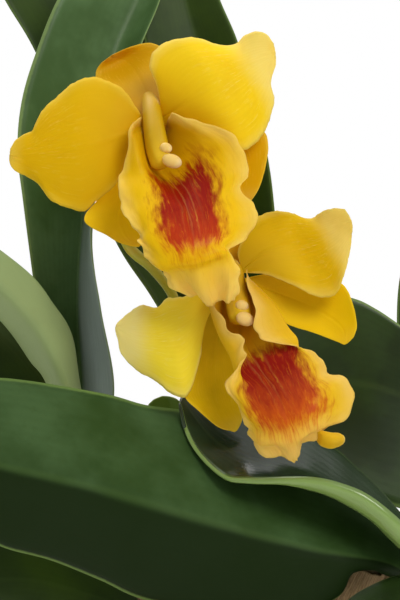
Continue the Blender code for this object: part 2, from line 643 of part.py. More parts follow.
# The lips: cross-sections from throat to front edge, each from the left margin to the right.
UPPER_LIP = [
    [(141, 117, 4.6), (142, 129, 3.4), (152, 135, 1.2), (165, 129, 2.8), (168, 117, 4.6)],
    [(131, 126, 14), (138, 138, 13), (155, 150, 3.5), (174, 132, 9), (173, 113, 14)],
    [(127, 157, 17), (139, 157, 19.5), (161, 171, 6), (190, 143, 12), (200, 123, 18)],
    [(118, 177, 20), (144, 175, 21), (171, 182, 11.5), (204, 160, 15), (236, 140, 17)],
    [(118, 197, 24), (149, 190, 25), (179, 193, 20), (214, 180, 20), (250, 168, 17)],
    [(126, 214, 27), (151, 206, 29), (186, 207, 27), (217, 200, 25), (244, 187, 21)],
    [(137, 233, 30), (153, 224, 33), (190, 224, 33), (221, 217, 30), (255, 212, 26)],
    [(140, 246, 31), (157, 240, 36), (193, 240, 38), (222, 234, 35), (248, 236, 28)],
    [(149, 261, 32), (168, 257, 39), (196, 253, 42), (218, 246, 40), (229, 250, 33)],
    [(163, 274, 33), (177, 271, 37), (201, 268, 40), (223, 261, 38), (240, 268, 34)],
    [(172, 287, 30), (185, 285, 33), (205, 286, 35), (225, 281, 34), (238, 286, 33)],
    [(187, 292, 28), (198, 299, 28), (213, 303, 28), (226, 302, 29), (233, 300, 30)],
]
LOWER_LIP = [
    [(223, 270, 5.4), (224, 281, 3.4), (235, 288, 1.2), (247, 281, 3.4), (246, 269, 5.6)],
    [(216, 294, 13), (211, 298, 7), (235, 304, 4), (257, 288, 8), (245, 283, 16)],
    [(218, 316, 19), (215, 322, 12), (239, 325, 8), (272, 302, 14), (254, 306, 22)],
    [(230, 332, 23), (223, 343, 17), (245, 344, 14), (287, 326, 19), (257, 328, 25)],
    [(244, 339, 25), (231, 360, 20), (252, 358, 19), (296, 339, 22), (268, 342, 26)],
    [(245, 352, 26), (236, 374, 23), (262, 373, 24), (298, 352, 23), (294, 344, 25)],
    [(238, 368, 27), (246, 383, 27), (272, 387, 30), (303, 366, 27), (320, 356, 24)],
    [(228, 388, 27), (248, 398, 31), (280, 401, 35), (310, 383, 32), (326, 373, 25)],
    [(235, 407, 27), (256, 413, 34), (286, 414, 38), (317, 397, 36), (349, 382, 26)],
    [(246, 424, 27), (264, 427, 35), (291, 426, 39), (318, 412, 38), (351, 413, 27)],
    [(252, 440, 26), (271, 442, 33), (294, 439, 36), (315, 427, 36), (328, 430, 31)],
    [(262, 454, 24), (280, 459, 27), (297, 456, 28), (310, 441, 30), (322, 436, 29)],
]
UPPER_COLUMN = [(153, 110, 3.4), (156.3, 130, 9.4), (162, 150, 13.7), (166, 168, 17.5)]
LOWER_COLUMN = [(235.5, 276, 3.4), (236, 290, 8.5), (238, 305, 13), (241, 321, 17.5)]

RUFFLES = {
    "dorsal_sepal": (0.3, 1.5, 0.0),
    "left_petal": (0.9, 3.0, 0.4),
    "right_petal": (0.9, 3.0, 2.0),
    "left_lateral_sepal": (0.3, 1.5, 1.0),
    "right_lateral_sepal": (0.3, 1.5, 2.0),
}
LIP_FRILL = (0.8, 7.0, 0.5)


def make_rhizome(name, material, grow=0.0):
    """The creeping rootstock with its thick roots, all fused; grow makes it that much fatter."""
    runs = []
    for index, run in enumerate(RHIZOME_RUNS):
        points = [(x, y, RHIZOME_HEIGHT) for x, y in run]
        runs.append(stalk(f"{name}_run_{index}", points, RHIZOME_RADII, material, 12, 7, grow))
    for index, root in enumerate(ROOTS):
        runs.append(stalk(f"{name}_root_{index}", root, ROOT_RADII, material, 7, 6, grow))
    rhizome = fused(runs[0], runs[1:])
    rhizome.name = name
    return rhizome


def bulb_radii(points):
    """A club's radii from its foot to its top, the widest above the middle."""
    belly = min(PSEUDOBULB_BELLY, 4.5 + (points[-1][2] - points[0][2]) / 14)
    return [PSEUDOBULB_NECK, 0.75 * belly, belly, belly, 0.7 * belly, PSEUDOBULB_NECK + 1]


def make_bulb_sheath(name, points, material):
    """A dry papery sheath wrapped round the front of a pseudobulb and open behind it."""
    rows, columns = SHEATH_GRID
    fine = 4 * rows
    centres = through(points, fine + 1)
    frames = stalk_frames(centres)
    radii = bulb_radii(points)
    grid = []
    for i in range(rows + 1):
        share = np.interp(i, [0, rows], SHEATH_SPAN)
        index = round(fine * share)
        side, front = frames[index]
        radius = np.interp(share, np.linspace(0, 1, len(radii)), radii)
        radius += SHEATH_CLEARANCE + SHEATH_FLARE * (i / rows) ** 3
        row = []
        for j in range(columns + 1):
            angle = math.radians(90 + SHEATH_WRAP * (1 - 2 * j / columns))
            ragged = SHEATH_RAGGED * math.sin(2.3 * j) * (i == rows)
            reach = radius * (math.cos(angle) * side + math.sin(angle) * front)
            row.append(centres[index] + reach + (0, 0, ragged))
        grid.append(row)
    thickness = np.full((rows + 1, columns + 1), SHEATH_THICKNESS)
    return blade(name, np.array(grid), thickness, material)


def make_bloom(prefix, near, tepals, lip_sections, column, materials):
    for piece, curves in tepals.items():
        material = materials["petal" if "petal" in piece else "sepal"]
        tepal(f"{prefix}_{piece}", near, *curves, material, RUFFLES[piece])
    lip(f"{prefix}_lip", near, lip_sections, materials["lip"], LIP_FRILL)
    stalk(f"{prefix}_column", drawn(column, near), COLUMN_RADII, materials["column"], sides=10)


def make_plant():
    clay = finish("clay", (0.42, 0.17, 0.09), 0.85)
    bark = finish("bark", (0.13, 0.07, 0.04), 0.95)
    root_skin = finish("root_skin", (0.35, 0.38, 0.22), 0.8)
    bulb_skin = finish("bulb_skin", (0.16, 0.24, 0.06), 0.6)
    leaf_skin = finish("leaf_skin", (0.05, 0.12, 0.03), 0.35)
    papery = finish("papery", (0.32, 0.24, 0.15), 0.85)
    sheath_skin = finish("sheath_skin", (0.25, 0.32, 0.10), 0.6)
    stem_skin = finish("stem_skin", (0.25, 0.35, 0.05), 0.5)
    stalk_skin = finish("stalk_skin", (0.55, 0.56, 0.05), 0.5)
    bloom_skins = {
        "petal": finish("petal_yellow", (0.68, 0.38, 0.01), 0.5),
        "sepal": finish("sepal_gold", (0.56, 0.27, 0.01), 0.5),
        "lip": finish("lip_yellow", (0.75, 0.35, 0.02), 0.5),
        "column": finish("column_cream", (0.68, 0.42, 0.05), 0.45),
    }
    make_pot(clay)
    hollow = make_rhizome("rhizome_hollow", bark, SEAT_GAP)
    make_bark(bark, [hollow])
    make_rhizome("rhizome", root_skin)
    for name, points in PSEUDOBULBS.items():
        stalk(name, points, bulb_radii(points), bulb_skin, sides=9)
    for name in SHEATHED:
        make_bulb_sheath(f"{name}_sheath", PSEUDOBULBS[name], papery)
    for name, curves in LEAVES.items():
        leaf(name, *curves, leaf_skin)
    leaf("flower_sheath", *FLOWER_SHEATH, sheath_skin)
    stalk("flower_stem", drawn(FLOWER_STEM), FLOWER_STEM_RADII, stem_skin, rings=12)
    stalk("upper_bloom_stalk", drawn(UPPER_STALK), STALK_RADII, stalk_skin, rings=18)
    stalk("lower_bloom_stalk", drawn(LOWER_STALK), STALK_RADII, stalk_skin, rings=12)
    make_bloom("upper_bloom", UPPER_BLOOM_NEAR, UPPER_TEPALS, UPPER_LIP, UPPER_COLUMN, bloom_skins)
    make_bloom("lower_bloom", LOWER_BLOOM_NEAR, LOWER_TEPALS, LOWER_LIP, LOWER_COLUMN, bloom_skins)


clear_scene()
make_plant()
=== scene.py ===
"""The potted cattleya orchid finished for the camera: waved petals, veined leaves, bark and clay.

Everything is in millimetres until a mesh is made. Blooms and leaves are drawn in a front view, as
in the part itself: a point is (right, down, near), right and down in steps of the drawing from its
top left corner, and near in millimetres in front of the pot's axis.
"""

import math
import random

import bpy
import numpy as np
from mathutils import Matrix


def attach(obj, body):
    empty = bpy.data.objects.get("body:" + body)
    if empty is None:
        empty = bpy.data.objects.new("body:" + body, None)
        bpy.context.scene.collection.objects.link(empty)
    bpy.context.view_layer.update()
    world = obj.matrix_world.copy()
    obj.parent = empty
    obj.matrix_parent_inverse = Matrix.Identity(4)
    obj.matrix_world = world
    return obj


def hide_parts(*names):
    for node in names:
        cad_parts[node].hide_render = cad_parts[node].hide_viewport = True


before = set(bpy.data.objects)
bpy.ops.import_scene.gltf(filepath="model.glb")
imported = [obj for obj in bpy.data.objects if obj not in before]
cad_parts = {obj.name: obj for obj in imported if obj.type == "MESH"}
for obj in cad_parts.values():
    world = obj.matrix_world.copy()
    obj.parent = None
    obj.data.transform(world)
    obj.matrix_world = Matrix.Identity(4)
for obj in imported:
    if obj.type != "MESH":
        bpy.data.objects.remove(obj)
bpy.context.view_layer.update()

MM = 0.001

# The front view: one step is DRAWING_STEP wide at the pot's axis, seen from VIEW_DISTANCE away.
DRAWING_STEP = 0.4
DRAWING_CENTRE = (200, 300)
VIEW_CENTRE_X = -24
VIEW_CENTRE_Z = 255
VIEW_DISTANCE = 1000

# The pot and its bark.
POT_HEIGHT = 120
POT_BASE_RADIUS = 52
POT_WALL_TOP_RADIUS = 71
POT_RIM_RADIUS = 77
POT_RIM_HEIGHT = 26
POT_WALL = 5
POT_FLOOR = 7
DRAIN_HOLE_RADIUS = 4
DRAIN_HOLE_CIRCLE = 30
DRAIN_HOLES = 3
POT_EDGE = 1.5
BARK_TOP = 104
LOOSE_CHIP_RADIUS = 60
LOOSE_CHIP_SPACING = 6.2
LOOSE_CHIP_SIZE = (11, 7, 3.2)
LOOSE_CHIP_CORNERS = (4, 3, 2)
LOOSE_CHIP_SCALES = ((0.45, 0.5, 0.6), (1.05, 1.0, 1.15))
LOOSE_CHIP_TURNS = ((-0.35, -0.35, 0), (0.35, 0.35, 6.28))
LOOSE_CHIP_BREAKAGE = 1.8
LOOSE_CHIP_SEED = 7

# The parts of the plant.
PSEUDOBULB_NECK = 3.6
PSEUDOBULB_BELLY = 8.5
BULB_RIBS = 11
BULB_JOINTS = 3
BULB_RIB = 0.025
OLD_BULB = "pseudobulb_11"
OLD_BULB_RIB = 0.05
SHEATH_THICKNESS = 0.45
SHEATH_CLEARANCE = 1.0
SHEATH_FLARE = 1.2
SHEATH_SPAN = (0.1, 0.85)
SHEATH_WRAP = 110
SHEATH_TEARS = 14
SHEATH_SEED = 40
TEPAL_THICKNESS = 0.8
TEPAL_EDGE = 0.35
TEPAL_CUP = 2
TEPAL_KEEL = 0.3
LIP_THICKNESS = 0.7
LIP_EDGE = 0.3
LIP_FURROW = 0.5
FURROW_WIDTH = 0.05
LEAF_THICKNESS = 2.2
LEAF_EDGE_SHARE = 0.45
LEAF_FOLD = 1.4
LEFT_ARCHING_UNDER = 0.9
GREEN_SHEATH_THICKNESS = 1.6
HEM_BULGE = 1.1
TIP_SHARE = 0.997
FLOWER_STEM_RADII = [2.6, 2.4, 2.2, 2.2, 3.4]
STALK_RADII = [2.0, 1.9, 2.2, 2.6, 2.2, 1.8]
COLUMN_RADII = [2.2, 3.3, 3.7, 4.1, 4.4, 3.8]
LOBE_TILT = 0.35
UPPER_BLOOM_NEAR = 45
LOWER_BLOOM_NEAR = 52

# How finely each shape is divided.
TEPAL_GRID = (72, 36)
LIP_STEPS = (8, 14)
LEAF_GRID = (110, 22)
HEM_STEPS = 6
FLAP_STEPS = 8
SHEATH_GRID = (36, 48)
SPLINE_STEPS = 16
POT_SEGMENTS = 144
BULB_RINGS = 64
BULB_SIDES = 44
COLUMN_RINGS = 44
COLUMN_SIDES = 36
LOBE_RINGS = 22
LOBE_SIDES = 24

# Each pseudobulb: where it leaves the rhizome, points on its way, and its top.
PSEUDOBULBS = {
    "pseudobulb_1": [(-38, 10, 110.4), (-52, 10, 145), (-67, 11, 186)],
    "pseudobulb_2": [(0, 30, 110.3), (-2, 36, 150), (-7, 40, 193)],
    "pseudobulb_3": [(-10, -4, 110.4), (-13, -4, 140), (-18, -8, 174)],
    "pseudobulb_4": [(12, -2, 110.6), (11, -3, 150), (5, -6, 193)],
    "pseudobulb_5": [(48, -8, 111.4), (58, -12, 128), (68, -20, 148)],
    "pseudobulb_6": [(43, -22, 111.9), (50, -30, 128), (58, -40, 146.7)],
    "pseudobulb_7": [(18, -45, 112.1), (18, -47, 114.5), (20, -53, 118.5)],
    "pseudobulb_8": [(-26, -34, 111.3), (-28, -34, 114.5), (-34, -36, 120.5), (-44.5, -36, 132)],
    "pseudobulb_9": [(-32, -12, 110.6), (-42, -13, 136), (-60, -17, 164)],
    "pseudobulb_10": [(50, 14, 110.5), (58, 13, 128), (69, 10, 147)],
    "pseudobulb_11": [(27, -37, 111.3), (33, -38, 134), (43, -39, 160)],
}

# The pseudobulbs that still carry their dry sheath.
SHEATHED = ["pseudobulb_1", "pseudobulb_3", "pseudobulb_4", "pseudobulb_9", "pseudobulb_11"]

# The leaves: left margin, midrib and right margin, from the base to the tip.
LEAVES = {
    "leaf_left_upright": (
        [(81, 470, -7), (49, 400, -4), (36, 300, -2), (23, 200, -4), (17.5, 150, -6), (22, 100, -8),
         (37, 50, -12), (60, -5, -18), (95, -55, -26), (140, -92, -34), (180, -110, -40)],
        [(84, 470, -12), (82, 385, -16), (78, 300, -20), (84, 212, -24), (92, 150, -26),
         (102, 100, -28), (117, 48, -32), (137, 0, -37), (160, -55, -41), (180, -110, -40)],
        [(91, 470, -7), (114, 395, 6), (101, 310, 8), (91, 240, 7), (97, 170, 0), (115, 110, -10),
         (142, 43, -22), (160, 0, -30), (176, -55, -38), (180, -110, -40)],
    ),
    "leaf_back_left": (
        [(226, 448.5, -40), (198, 380, -42), (154, 301, -40), (117, 244, -40), (75, 150, -42),
         (37, 55, -46), (5, 0, -50), (-20, -50, -54), (-30, -90, -58), (-15, -130, -60)],
        [(230, 449.5, -45), (226, 380, -52), (205, 300, -54), (175, 230, -56), (130, 130, -60),
         (90, 40, -64), (50, -30, -66), (15, -90, -64), (-15, -130, -60)],
        [(235, 448.5, -43), (258, 380, -44), (252, 300, -44), (232, 220, -44), (188, 110, -46),
         (145, 15, -50), (95, -50, -56), (40, -105, -60), (-15, -130, -60)],
    ),
    "leaf_back_right": (
        [(238, 446, -34), (222, 380, -26), (212, 300, -24), (200, 215, -24), (178, 140, -26),
         (150, 60, -34), (137, 0, -44), (141, -45, -52), (176, -85, -58)],
        [(242, 447, -38), (245, 380, -38), (243, 300, -38), (232, 215, -38), (222, 140, -40),
         (202, 60, -44), (186, 0, -50), (178, -45, -55), (176, -85, -58)],
        [(247, 446, -34), (275, 380, -24), (283, 300, -20), (275, 215, -20), (269, 165, -20),
         (256, 100, -25), (237, 40, -32), (220, 0, -40), (204, -45, -50), (176, -85, -58)],
    ),
    "leaf_left_arching": (
        [(104, 528, 19), (75, 460, 26), (47, 385, 28), (30, 361, 30), (10, 332, 34),
         (-10, 312, 38), (-50, 288, 44), (-90, 268, 50), (-120, 235, 56)],
        [(108, 528, 21), (88, 460, 32), (66, 387, 40), (46, 340, 46), (20, 305, 52),
         (-5, 282, 56), (-45, 258, 60), (-85, 245, 60), (-120, 235, 56)],
        [(112, 528, 18), (97, 460, 17), (81, 390, 18), (72, 335, 22), (52, 302, 28),
         (33, 277, 32), (0, 250, 38), (-40, 222, 42), (-80, 214, 48), (-120, 235, 56)],
    ),
    "leaf_left_low": (
        [(99, 528, 14), (50, 460, 14), (0, 405, 16), (-60, 350, 20), (-110, 322, 22),
         (-150, 310, 24)],
        [(103, 528, 13), (70, 430, 6), (20, 352, 6), (-40, 302, 10), (-100, 290, 16),
         (-150, 310, 24)],
        [(107, 528, 13), (85, 420, 4), (50, 345, 0), (10, 300, 2), (-50, 264, 6),
         (-110, 264, 14), (-150, 310, 24)],
    ),
    "leaf_front_broad": (
        [(413, 583, 42), (397, 580, 48), (384, 574, 52), (370, 569, 56), (350, 574, 59),
         (339, 596, 60.5), (290, 620, 62), (230, 618, 63), (145, 600, 66), (100, 580, 70),
         (50, 560, 76), (0, 546, 82), (-40, 520, 86), (-80, 470, 90)],
        [(413.5, 580, 43.5), (390, 565, 54), (345, 556, 62), (300, 547, 64), (200, 520, 74),
         (100, 490, 84), (0, 466, 92), (-50, 455, 94), (-80, 440, 92)],
        [(416, 578, 40.5), (418, 558, 38), (400, 530, 36), (350, 492, 35), (300, 470, 36),
         (250, 450, 37), (215, 428, 37), (190, 412, 38), (145, 405, 45), (100, 393, 54),
         (0, 378, 70), (-50, 388, 82), (-80, 420, 90)],
    ),
    "leaf_front_right": (
        [(441, 571, 22), (430, 572, 48), (415, 556, 70), (400, 537, 76), (370, 509, 77),
         (330, 488, 76), (290, 482, 74), (250, 482, 70), (225, 477, 66), (200, 455, 58),
         (186, 430, 50), (179, 400, 42)],
        [(436, 571, 22), (424, 566, 44), (402, 548, 60), (360, 508, 62), (310, 476, 60),
         (260, 456, 56), (225, 440, 50), (200, 418, 44), (180, 396, 41)],
        [(437, 569, 18), (425, 540, 34), (400, 512, 42), (378, 487, 42), (353, 464, 40),
         (334, 447, 38), (295, 420, 34), (250, 400, 32), (210, 390, 34), (181, 393, 40)],
    ),
    "leaf_right_arching": (
        [(278, 451, 5), (310, 462, 16), (360, 492, 22), (420, 512, 24), (470, 495, 22),
         (505, 462, 20), (520, 440, 20)],
        [(273, 450, 3), (288, 415, 2), (325, 385, 4), (370, 385, 10), (420, 402, 14),
         (475, 422, 18), (520, 440, 20)],
        [(268, 451, 5), (262, 400, 12), (276, 330, 14), (310, 292, 14), (352, 298, 14),
         (376, 309, 14), (400, 325, 15), (440, 352, 17), (490, 400, 20), (520, 440, 20)],
    ),
    "leaf_front_left_low": (
        [(146, 616, 38), (95, 640, 42), (20, 645, 50), (-60, 640, 58), (-120, 625, 66)],
        [(144, 613, 36), (90, 596, 38), (20, 580, 44), (-60, 590, 54), (-120, 620, 66)],
        [(146, 609, 34), (100, 560, 30), (20, 530, 36), (-60, 545, 48), (-120, 615, 66)],
    ),
    "leaf_front_right_low": (
        [(318, 652, 52), (333, 622, 54), (347, 601, 56), (370, 586, 57), (400, 575, 58),
         (440, 573, 64), (500, 592, 70), (560, 632, 82), (585, 665, 88)],
        [(321, 655, 56), (345, 628, 66), (385, 612, 74), (440, 610, 82), (510, 630, 90),
         (585, 665, 90)],
        [(325, 656, 58), (355, 650, 78), (400, 645, 92), (450, 648, 100), (520, 660, 100),
         (585, 667, 92)],
    ),
    "leaf_right_upright": (
        [(426, 560, -11), (406, 450, -14), (397, 320, -16), (406, 250, -18), (430, 185, -22),
         (470, 140, -26)],
        [(430, 561, -14), (436, 450, -24), (440, 340, -30), (448, 250, -32), (462, 190, -30),
         (480, 140, -27)],
        [(435, 560, -11), (470, 450, -14), (484, 340, -14), (488, 250, -16), (490, 190, -20),
         (486, 142, -26)],
    ),
}

FLOWER_SHEATH = (
    [(205, 502, 8), (178, 450, 12), (150, 412, 17), (152, 401, 19), (163, 396, 19)],
    [(208, 502, 5), (192, 450, 5), (176, 420, 10), (171, 405, 15), (166, 396, 18)],
    [(211, 502, 6), (202, 450, 9), (187, 415, 15), (179, 401, 18), (170, 397, 19)],
)
FLOWER_STEM = [
    (219.5, 502, 9.5), (217, 460, 15), (209, 420, 20), (198, 375, 24), (189, 342, 25),
    (186, 326, 25),
]
UPPER_STALK = [
    (181, 325, 25), (172, 294, 27), (152, 268, 31), (130, 248, 33), (122, 222, 32),
    (127, 190, 30), (137, 155, 32), (149, 127, 39), (153, 119, 46),
]
LOWER_STALK = [
    (192.4, 321.5, 25), (197, 314, 26), (212, 306, 31), (226, 297, 37), (234, 286, 43),
    (236, 274, 52.4),
]

# Each petal and sepal: left margin, midrib and right margin, in front of its bloom's centre.
UPPER_TEPALS = {
    "dorsal_sepal": (
        [(142, 119, -1), (130, 107, -6), (112, 92, -13), (98, 81, -18), (96, 72, -20),
         (101, 64, -20), (110, 57, -19)],
        [(153, 111.5, -1), (146, 92, -10), (136, 72, -20), (124, 60, -25), (110, 56, -21)],
        [(157, 110.5, -1), (164, 92, -8), (169, 70, -16), (167, 52, -21), (152, 43, -23),
         (134, 46, -22), (120, 51, -20), (111, 56, -19)],
    ),
    "left_petal": (
        [(147, 126, 0.6), (142, 117, 1), (136, 108, 2), (127, 95, 2), (118, 85, 2), (107, 80, 1),
         (94, 78, 0), (80, 81, 0), (64, 90, 0), (48, 103, 0), (38, 121, 0), (33, 130, 0),
         (24, 134, 0), (15, 140, -1), (10, 149, -1)],
        [(147, 128, 0.6), (120, 136, 6), (85, 146, 8), (45, 153, 4), (9, 156, -1)],
        [(148, 131, 0.8), (131, 160, 3), (117, 182, 4), (107, 192, 3), (98, 202, 2),
         (86, 212, 1), (75, 210, 1), (60, 204, 1), (48, 195, 1), (38, 185, 1), (25, 176, 0),
         (13, 169, 0), (9, 161, -1)],
    ),
    "right_petal": (
        [(159.2, 115.5, 0.8), (160, 105, 2), (155, 84, 2), (150, 66, 2), (152, 51, 1), (165, 41, 0),
         (182, 39, 0), (202, 41, -1), (220, 43, -3), (235, 43, -3), (245, 36, -1), (255, 32, 1),
         (266, 34, 2), (274, 44, 2)],
        [(160, 119, 0.6), (185, 104, 7), (215, 86, 10), (246, 70, 6), (276, 54, 1)],
        [(161, 123, 0.7), (190, 136, 4), (215, 147, 6), (238, 150, 6), (253, 145, 5),
         (263, 137, 4), (269, 120, 3), (274, 100, 2), (272, 82, 1), (276, 64, 1)],
    ),
    "left_lateral_sepal": (
        [(146, 127, -1), (125, 165, -2), (100, 198, -2), (86, 213, -1), (85, 222, 1),
         (93, 229, 2), (105, 235, 3), (115, 241, 4), (126, 245, 5)],
        [(148.5, 128, -1), (138, 170, -4), (120, 210, -3), (123, 233, 1), (136, 247, 5)],
        [(151, 128.5, -1), (158, 170, -2), (157, 210, -1), (148, 236, 2), (139, 247, 5)],
    ),
    "right_lateral_sepal": (
        [(158.5, 122.5, -1), (195, 119, -3), (235, 124, -3), (262, 130, -1), (268, 142, 0),
         (266, 162, 1), (262, 180, 1), (257, 192, 1), (251, 201, 1)],
        [(157, 125, -1), (200, 141, -4), (233, 165, -4), (248, 203, 0)],
        [(155.5, 127.5, -1), (185, 156, -3), (215, 183, -2), (234, 198, -1), (246, 203, 0)],
    ),
}
LOWER_TEPALS = {
    "dorsal_sepal": (
        [(231, 269.5, -1), (215, 246, -5), (205, 228, -9), (202, 214, -12), (205, 206, -13)],
        [(234, 268, -1), (225, 243, -7), (216, 224, -12), (206, 204, -14)],
        [(238, 269, -1), (241, 245, -5), (233, 226, -9), (220, 211, -12), (209, 204, -13)],
    ),
    "left_petal": (
        [(230, 272, 0.8), (213, 272, 2), (199, 278, 3), (191, 287, 3), (187, 297, 2),
         (178, 299, 1), (166, 299, 0), (155, 306, 0), (140, 306, 0), (128, 313, 0), (117, 323, 0)],
        [(229.5, 275, 0.6), (212, 298, 2.5), (182, 330, 6), (145, 336, 5), (115, 327, 0)],
        [(229.5, 279.5, 0.8), (216, 300, 1), (203, 330, 1.5), (198, 360, 1.5), (195, 384, 2),
         (188, 396, 3), (180, 397, 3), (170, 392, 2), (155, 380, 1), (135, 370, 0),
         (122, 355, 0), (118, 340, 0), (115, 331, 0)],
    ),
    "right_petal": (
        [(240.6, 267, 0.8), (238, 250, 1), (246, 228, 1), (259, 217, 1), (275, 211, 0),
         (289, 212, -2), (301, 216, -3), (312, 217, -3), (322, 212, -1), (333, 208, 1),
         (345, 209, 1)],
        [(242, 270, 0.6), (265, 252, -1), (295, 244, -3), (325, 237, 0), (352, 221, 1)],
        [(241.2, 273, 0.8), (262, 274, 2), (280, 278, 3), (295, 287, 4), (310, 294, 4),
         (322, 297, 4), (334, 294, 4), (341, 286, 4), (345, 272, 3), (350, 252, 2),
         (352, 232, 1)],
    ),
    "left_lateral_sepal": (
        [(229, 283.5, -1), (209, 305, -3), (195, 345, -3), (188, 378, -2), (184, 396, 0),
         (198, 411, 3), (218, 427, 3), (232, 430, 2)],
        [(233, 285.5, -1), (219, 325, -6), (212, 375, -7), (220, 410, -3), (237, 431, 1)],
        [(236, 284.5, -1), (235, 325, -3), (239, 370, -4), (243, 400, -3), (242, 421, -1)],
    ),
    "right_lateral_sepal": (
        [(243, 278.5, -1), (270, 274, -4), (300, 277, -4), (330, 280, -3), (344, 286, -1),
         (352, 303, 0), (357, 325, 0), (354, 337, 1)],
        [(242, 281.5, -1), (275, 292, -6), (310, 306, -6), (340, 325, -3), (347, 344, 1)],
        [(240, 284, -1), (257, 301, -3), (282, 321, -3), (310, 332, -2), (330, 339, -1),
         (343, 344, 1)],
    ),
}

# The lips: cross-sections from throat to front edge, each from the left margin to the right.
UPPER_LIP = [
    [(141, 117, 4.6), (142, 129, 3.4), (152, 135, 1.2), (165, 129, 2.8), (168, 117, 4.6)],
    [(131, 126, 14), (138, 138, 13), (155, 150, 3.5), (174, 132, 9), (173, 113, 14)],
    [(127, 157, 17), (139, 157, 19.5), (161, 171, 6), (190, 143, 12), (200, 123, 18)],
    [(118, 177, 20), (144, 175, 21), (171, 182, 11.5), (204, 160, 15), (236, 140, 17)],
    [(118, 197, 24), (149, 190, 25), (179, 193, 20), (214, 180, 20), (250, 168, 17)],
    [(126, 214, 27), (151, 206, 29), (186, 207, 27), (217, 200, 25), (244, 187, 21)],
    [(137, 233, 30), (153, 224, 33), (190, 224, 33), (221, 217, 30), (255, 212, 26)],
    [(140, 246, 31), (157, 240, 36), (193, 240, 38), (222, 234, 35), (248, 236, 28)],
    [(149, 261, 32), (168, 257, 39), (196, 253, 42), (218, 246, 40), (229, 250, 33)],
    [(163, 274, 33), (177, 271, 37), (201, 268, 40), (223, 261, 38), (240, 268, 34)],
    [(172, 287, 30), (185, 285, 33), (205, 286, 35), (225, 281, 34), (238, 286, 33)],
    [(187, 292, 28), (198, 299, 28), (213, 303, 28), (226, 302, 29), (233, 300, 30)],
]
LOWER_LIP = [
    [(223, 270, 5.4), (224, 281, 3.4), (235, 288, 1.2), (247, 281, 3.4), (246, 269, 5.6)],
    [(216, 294, 13), (211, 298, 7), (235, 304, 4), (257, 288, 8), (245, 283, 16)],
    [(218, 316, 19), (215, 322, 12), (239, 325, 8), (272, 302, 14), (254, 306, 22)],
    [(230, 332, 23), (223, 343, 17), (245, 344, 14), (287, 326, 19), (257, 328, 25)],
    [(244, 339, 25), (231, 360, 20), (252, 358, 19), (296, 339, 22), (268, 342, 26)],
    [(245, 352, 26), (236, 374, 23), (262, 373, 24), (298, 352, 23), (294, 344, 25)],
    [(238, 368, 27), (246, 383, 27), (272, 387, 30), (303, 366, 27), (320, 356, 24)],
    [(228, 388, 27), (248, 398, 31), (280, 401, 35), (310, 383, 32), (326, 373, 25)],
    [(235, 407, 27), (256, 413, 34), (286, 414, 38), (317, 397, 36), (349, 382, 26)],
    [(246, 424, 27), (264, 427, 35), (291, 426, 39), (318, 412, 38), (351, 413, 27)],
    [(252, 440, 26), (271, 442, 33), (294, 439, 36), (315, 427, 36), (328, 430, 31)],
    [(262, 454, 24), (280, 459, 27), (297, 456, 28), (310, 441, 30), (322, 436, 29)],
]

# Each column's path, and the pale lobes of its anther cap: place, half length and radius.
UPPER_COLUMN = (
    [(148, 96, -11), (151.5, 108, 0.5), (154.5, 130, 8.8), (158, 150, 13), (163, 166, 17)],
    [((166, 148, 17.5), 2.2, 2.0), ((172, 161, 19), 3.6, 2.6)],
)
LOWER_COLUMN = (
    [(232, 262, -3), (235, 276, 3.2), (236, 290, 8.5), (238, 305, 13), (241, 321, 17.5)],
    [((242, 306, 17.5), 2.4, 2.2), ((245, 319, 19.5), 3.2, 2.6)],
)

# The waves of a margin: height, how many, and where they begin.
RUFFLES = {
    "dorsal_sepal": (0.3, 1.5, 0.0),
    "left_petal": (0.9, 3.0, 0.4),
    "right_petal": (0.9, 3.0, 2.0),
    "left_lateral_sepal": (0.3, 1.5, 1.0),
    "right_lateral_sepal": (0.3, 1.5, 2.0),
}
LIP_FRILL = (0.8, 7.0, 0.5)

# The frills close to a margin, and its scallops: how far they go, and how many there are.
LIP_CRIMP = (0.8, 14.0)
LIP_NOTCH = (0.55, 7.0)
PETAL_CRIMP = (0.3, 7.0)
SEPAL_CRIMP = (0.1, 5.0)

# The curl at the lower lip's right corner, from its root on the lip to its edge.
LOWER_LIP_CURL = [
    [(317, 431, 35), (318, 434, 34), (318, 437, 32), (317, 440, 30)],
    [(321, 431, 35), (323, 435, 36), (323, 441, 34.5), (321, 445, 30.5)],
    [(330, 433, 34), (332, 437, 35.5), (332, 443, 34), (330, 448, 30)],
    [(338, 433.5, 31.5), (340, 437, 32.5), (340, 442, 31.5), (338, 446, 29)],
    [(343, 436, 29), (344, 438, 29.5), (344, 441, 29.2), (342.5, 443.5, 28)],
]

# The torn flap of the old pseudobulb's sheath, from the sheath to its outer edge.
SHEATH_FLAP = [
    [(371, 556, 39), (373, 566, 40), (374, 578, 40), (373, 592, 39)],
    [(384, 561, 37), (387, 569, 38.2), (388, 579, 38.2), (387, 590, 37)],
    [(391, 567, 35), (393, 572, 36.2), (394, 579, 36.2), (392, 586, 35)],
    [(397, 571, 33), (398, 575, 34), (398, 579, 34), (396, 582, 33)],
]

# The front right leaf's left margin is rolled: the bend in it, and the hem's edge below.
ROLLED_MARGIN = (
    [(441, 571, 22), (430, 560, 48), (418, 545, 68), (400, 523, 77), (371, 499, 78),
     (346, 487, 77), (310, 479, 75), (250, 480, 70), (225, 477, 66), (200, 455, 58),
     (186, 430, 50), (179, 400, 42)],
    [(441, 573, 22), (432, 575, 46), (420, 566, 64), (400, 547, 73), (371, 521, 74),
     (346, 505, 73.5), (322, 494, 73), (285, 485, 72), (250, 483, 69.5), (225, 478, 66),
     (200, 455.5, 58), (186, 430, 50), (179, 400, 42)],
)


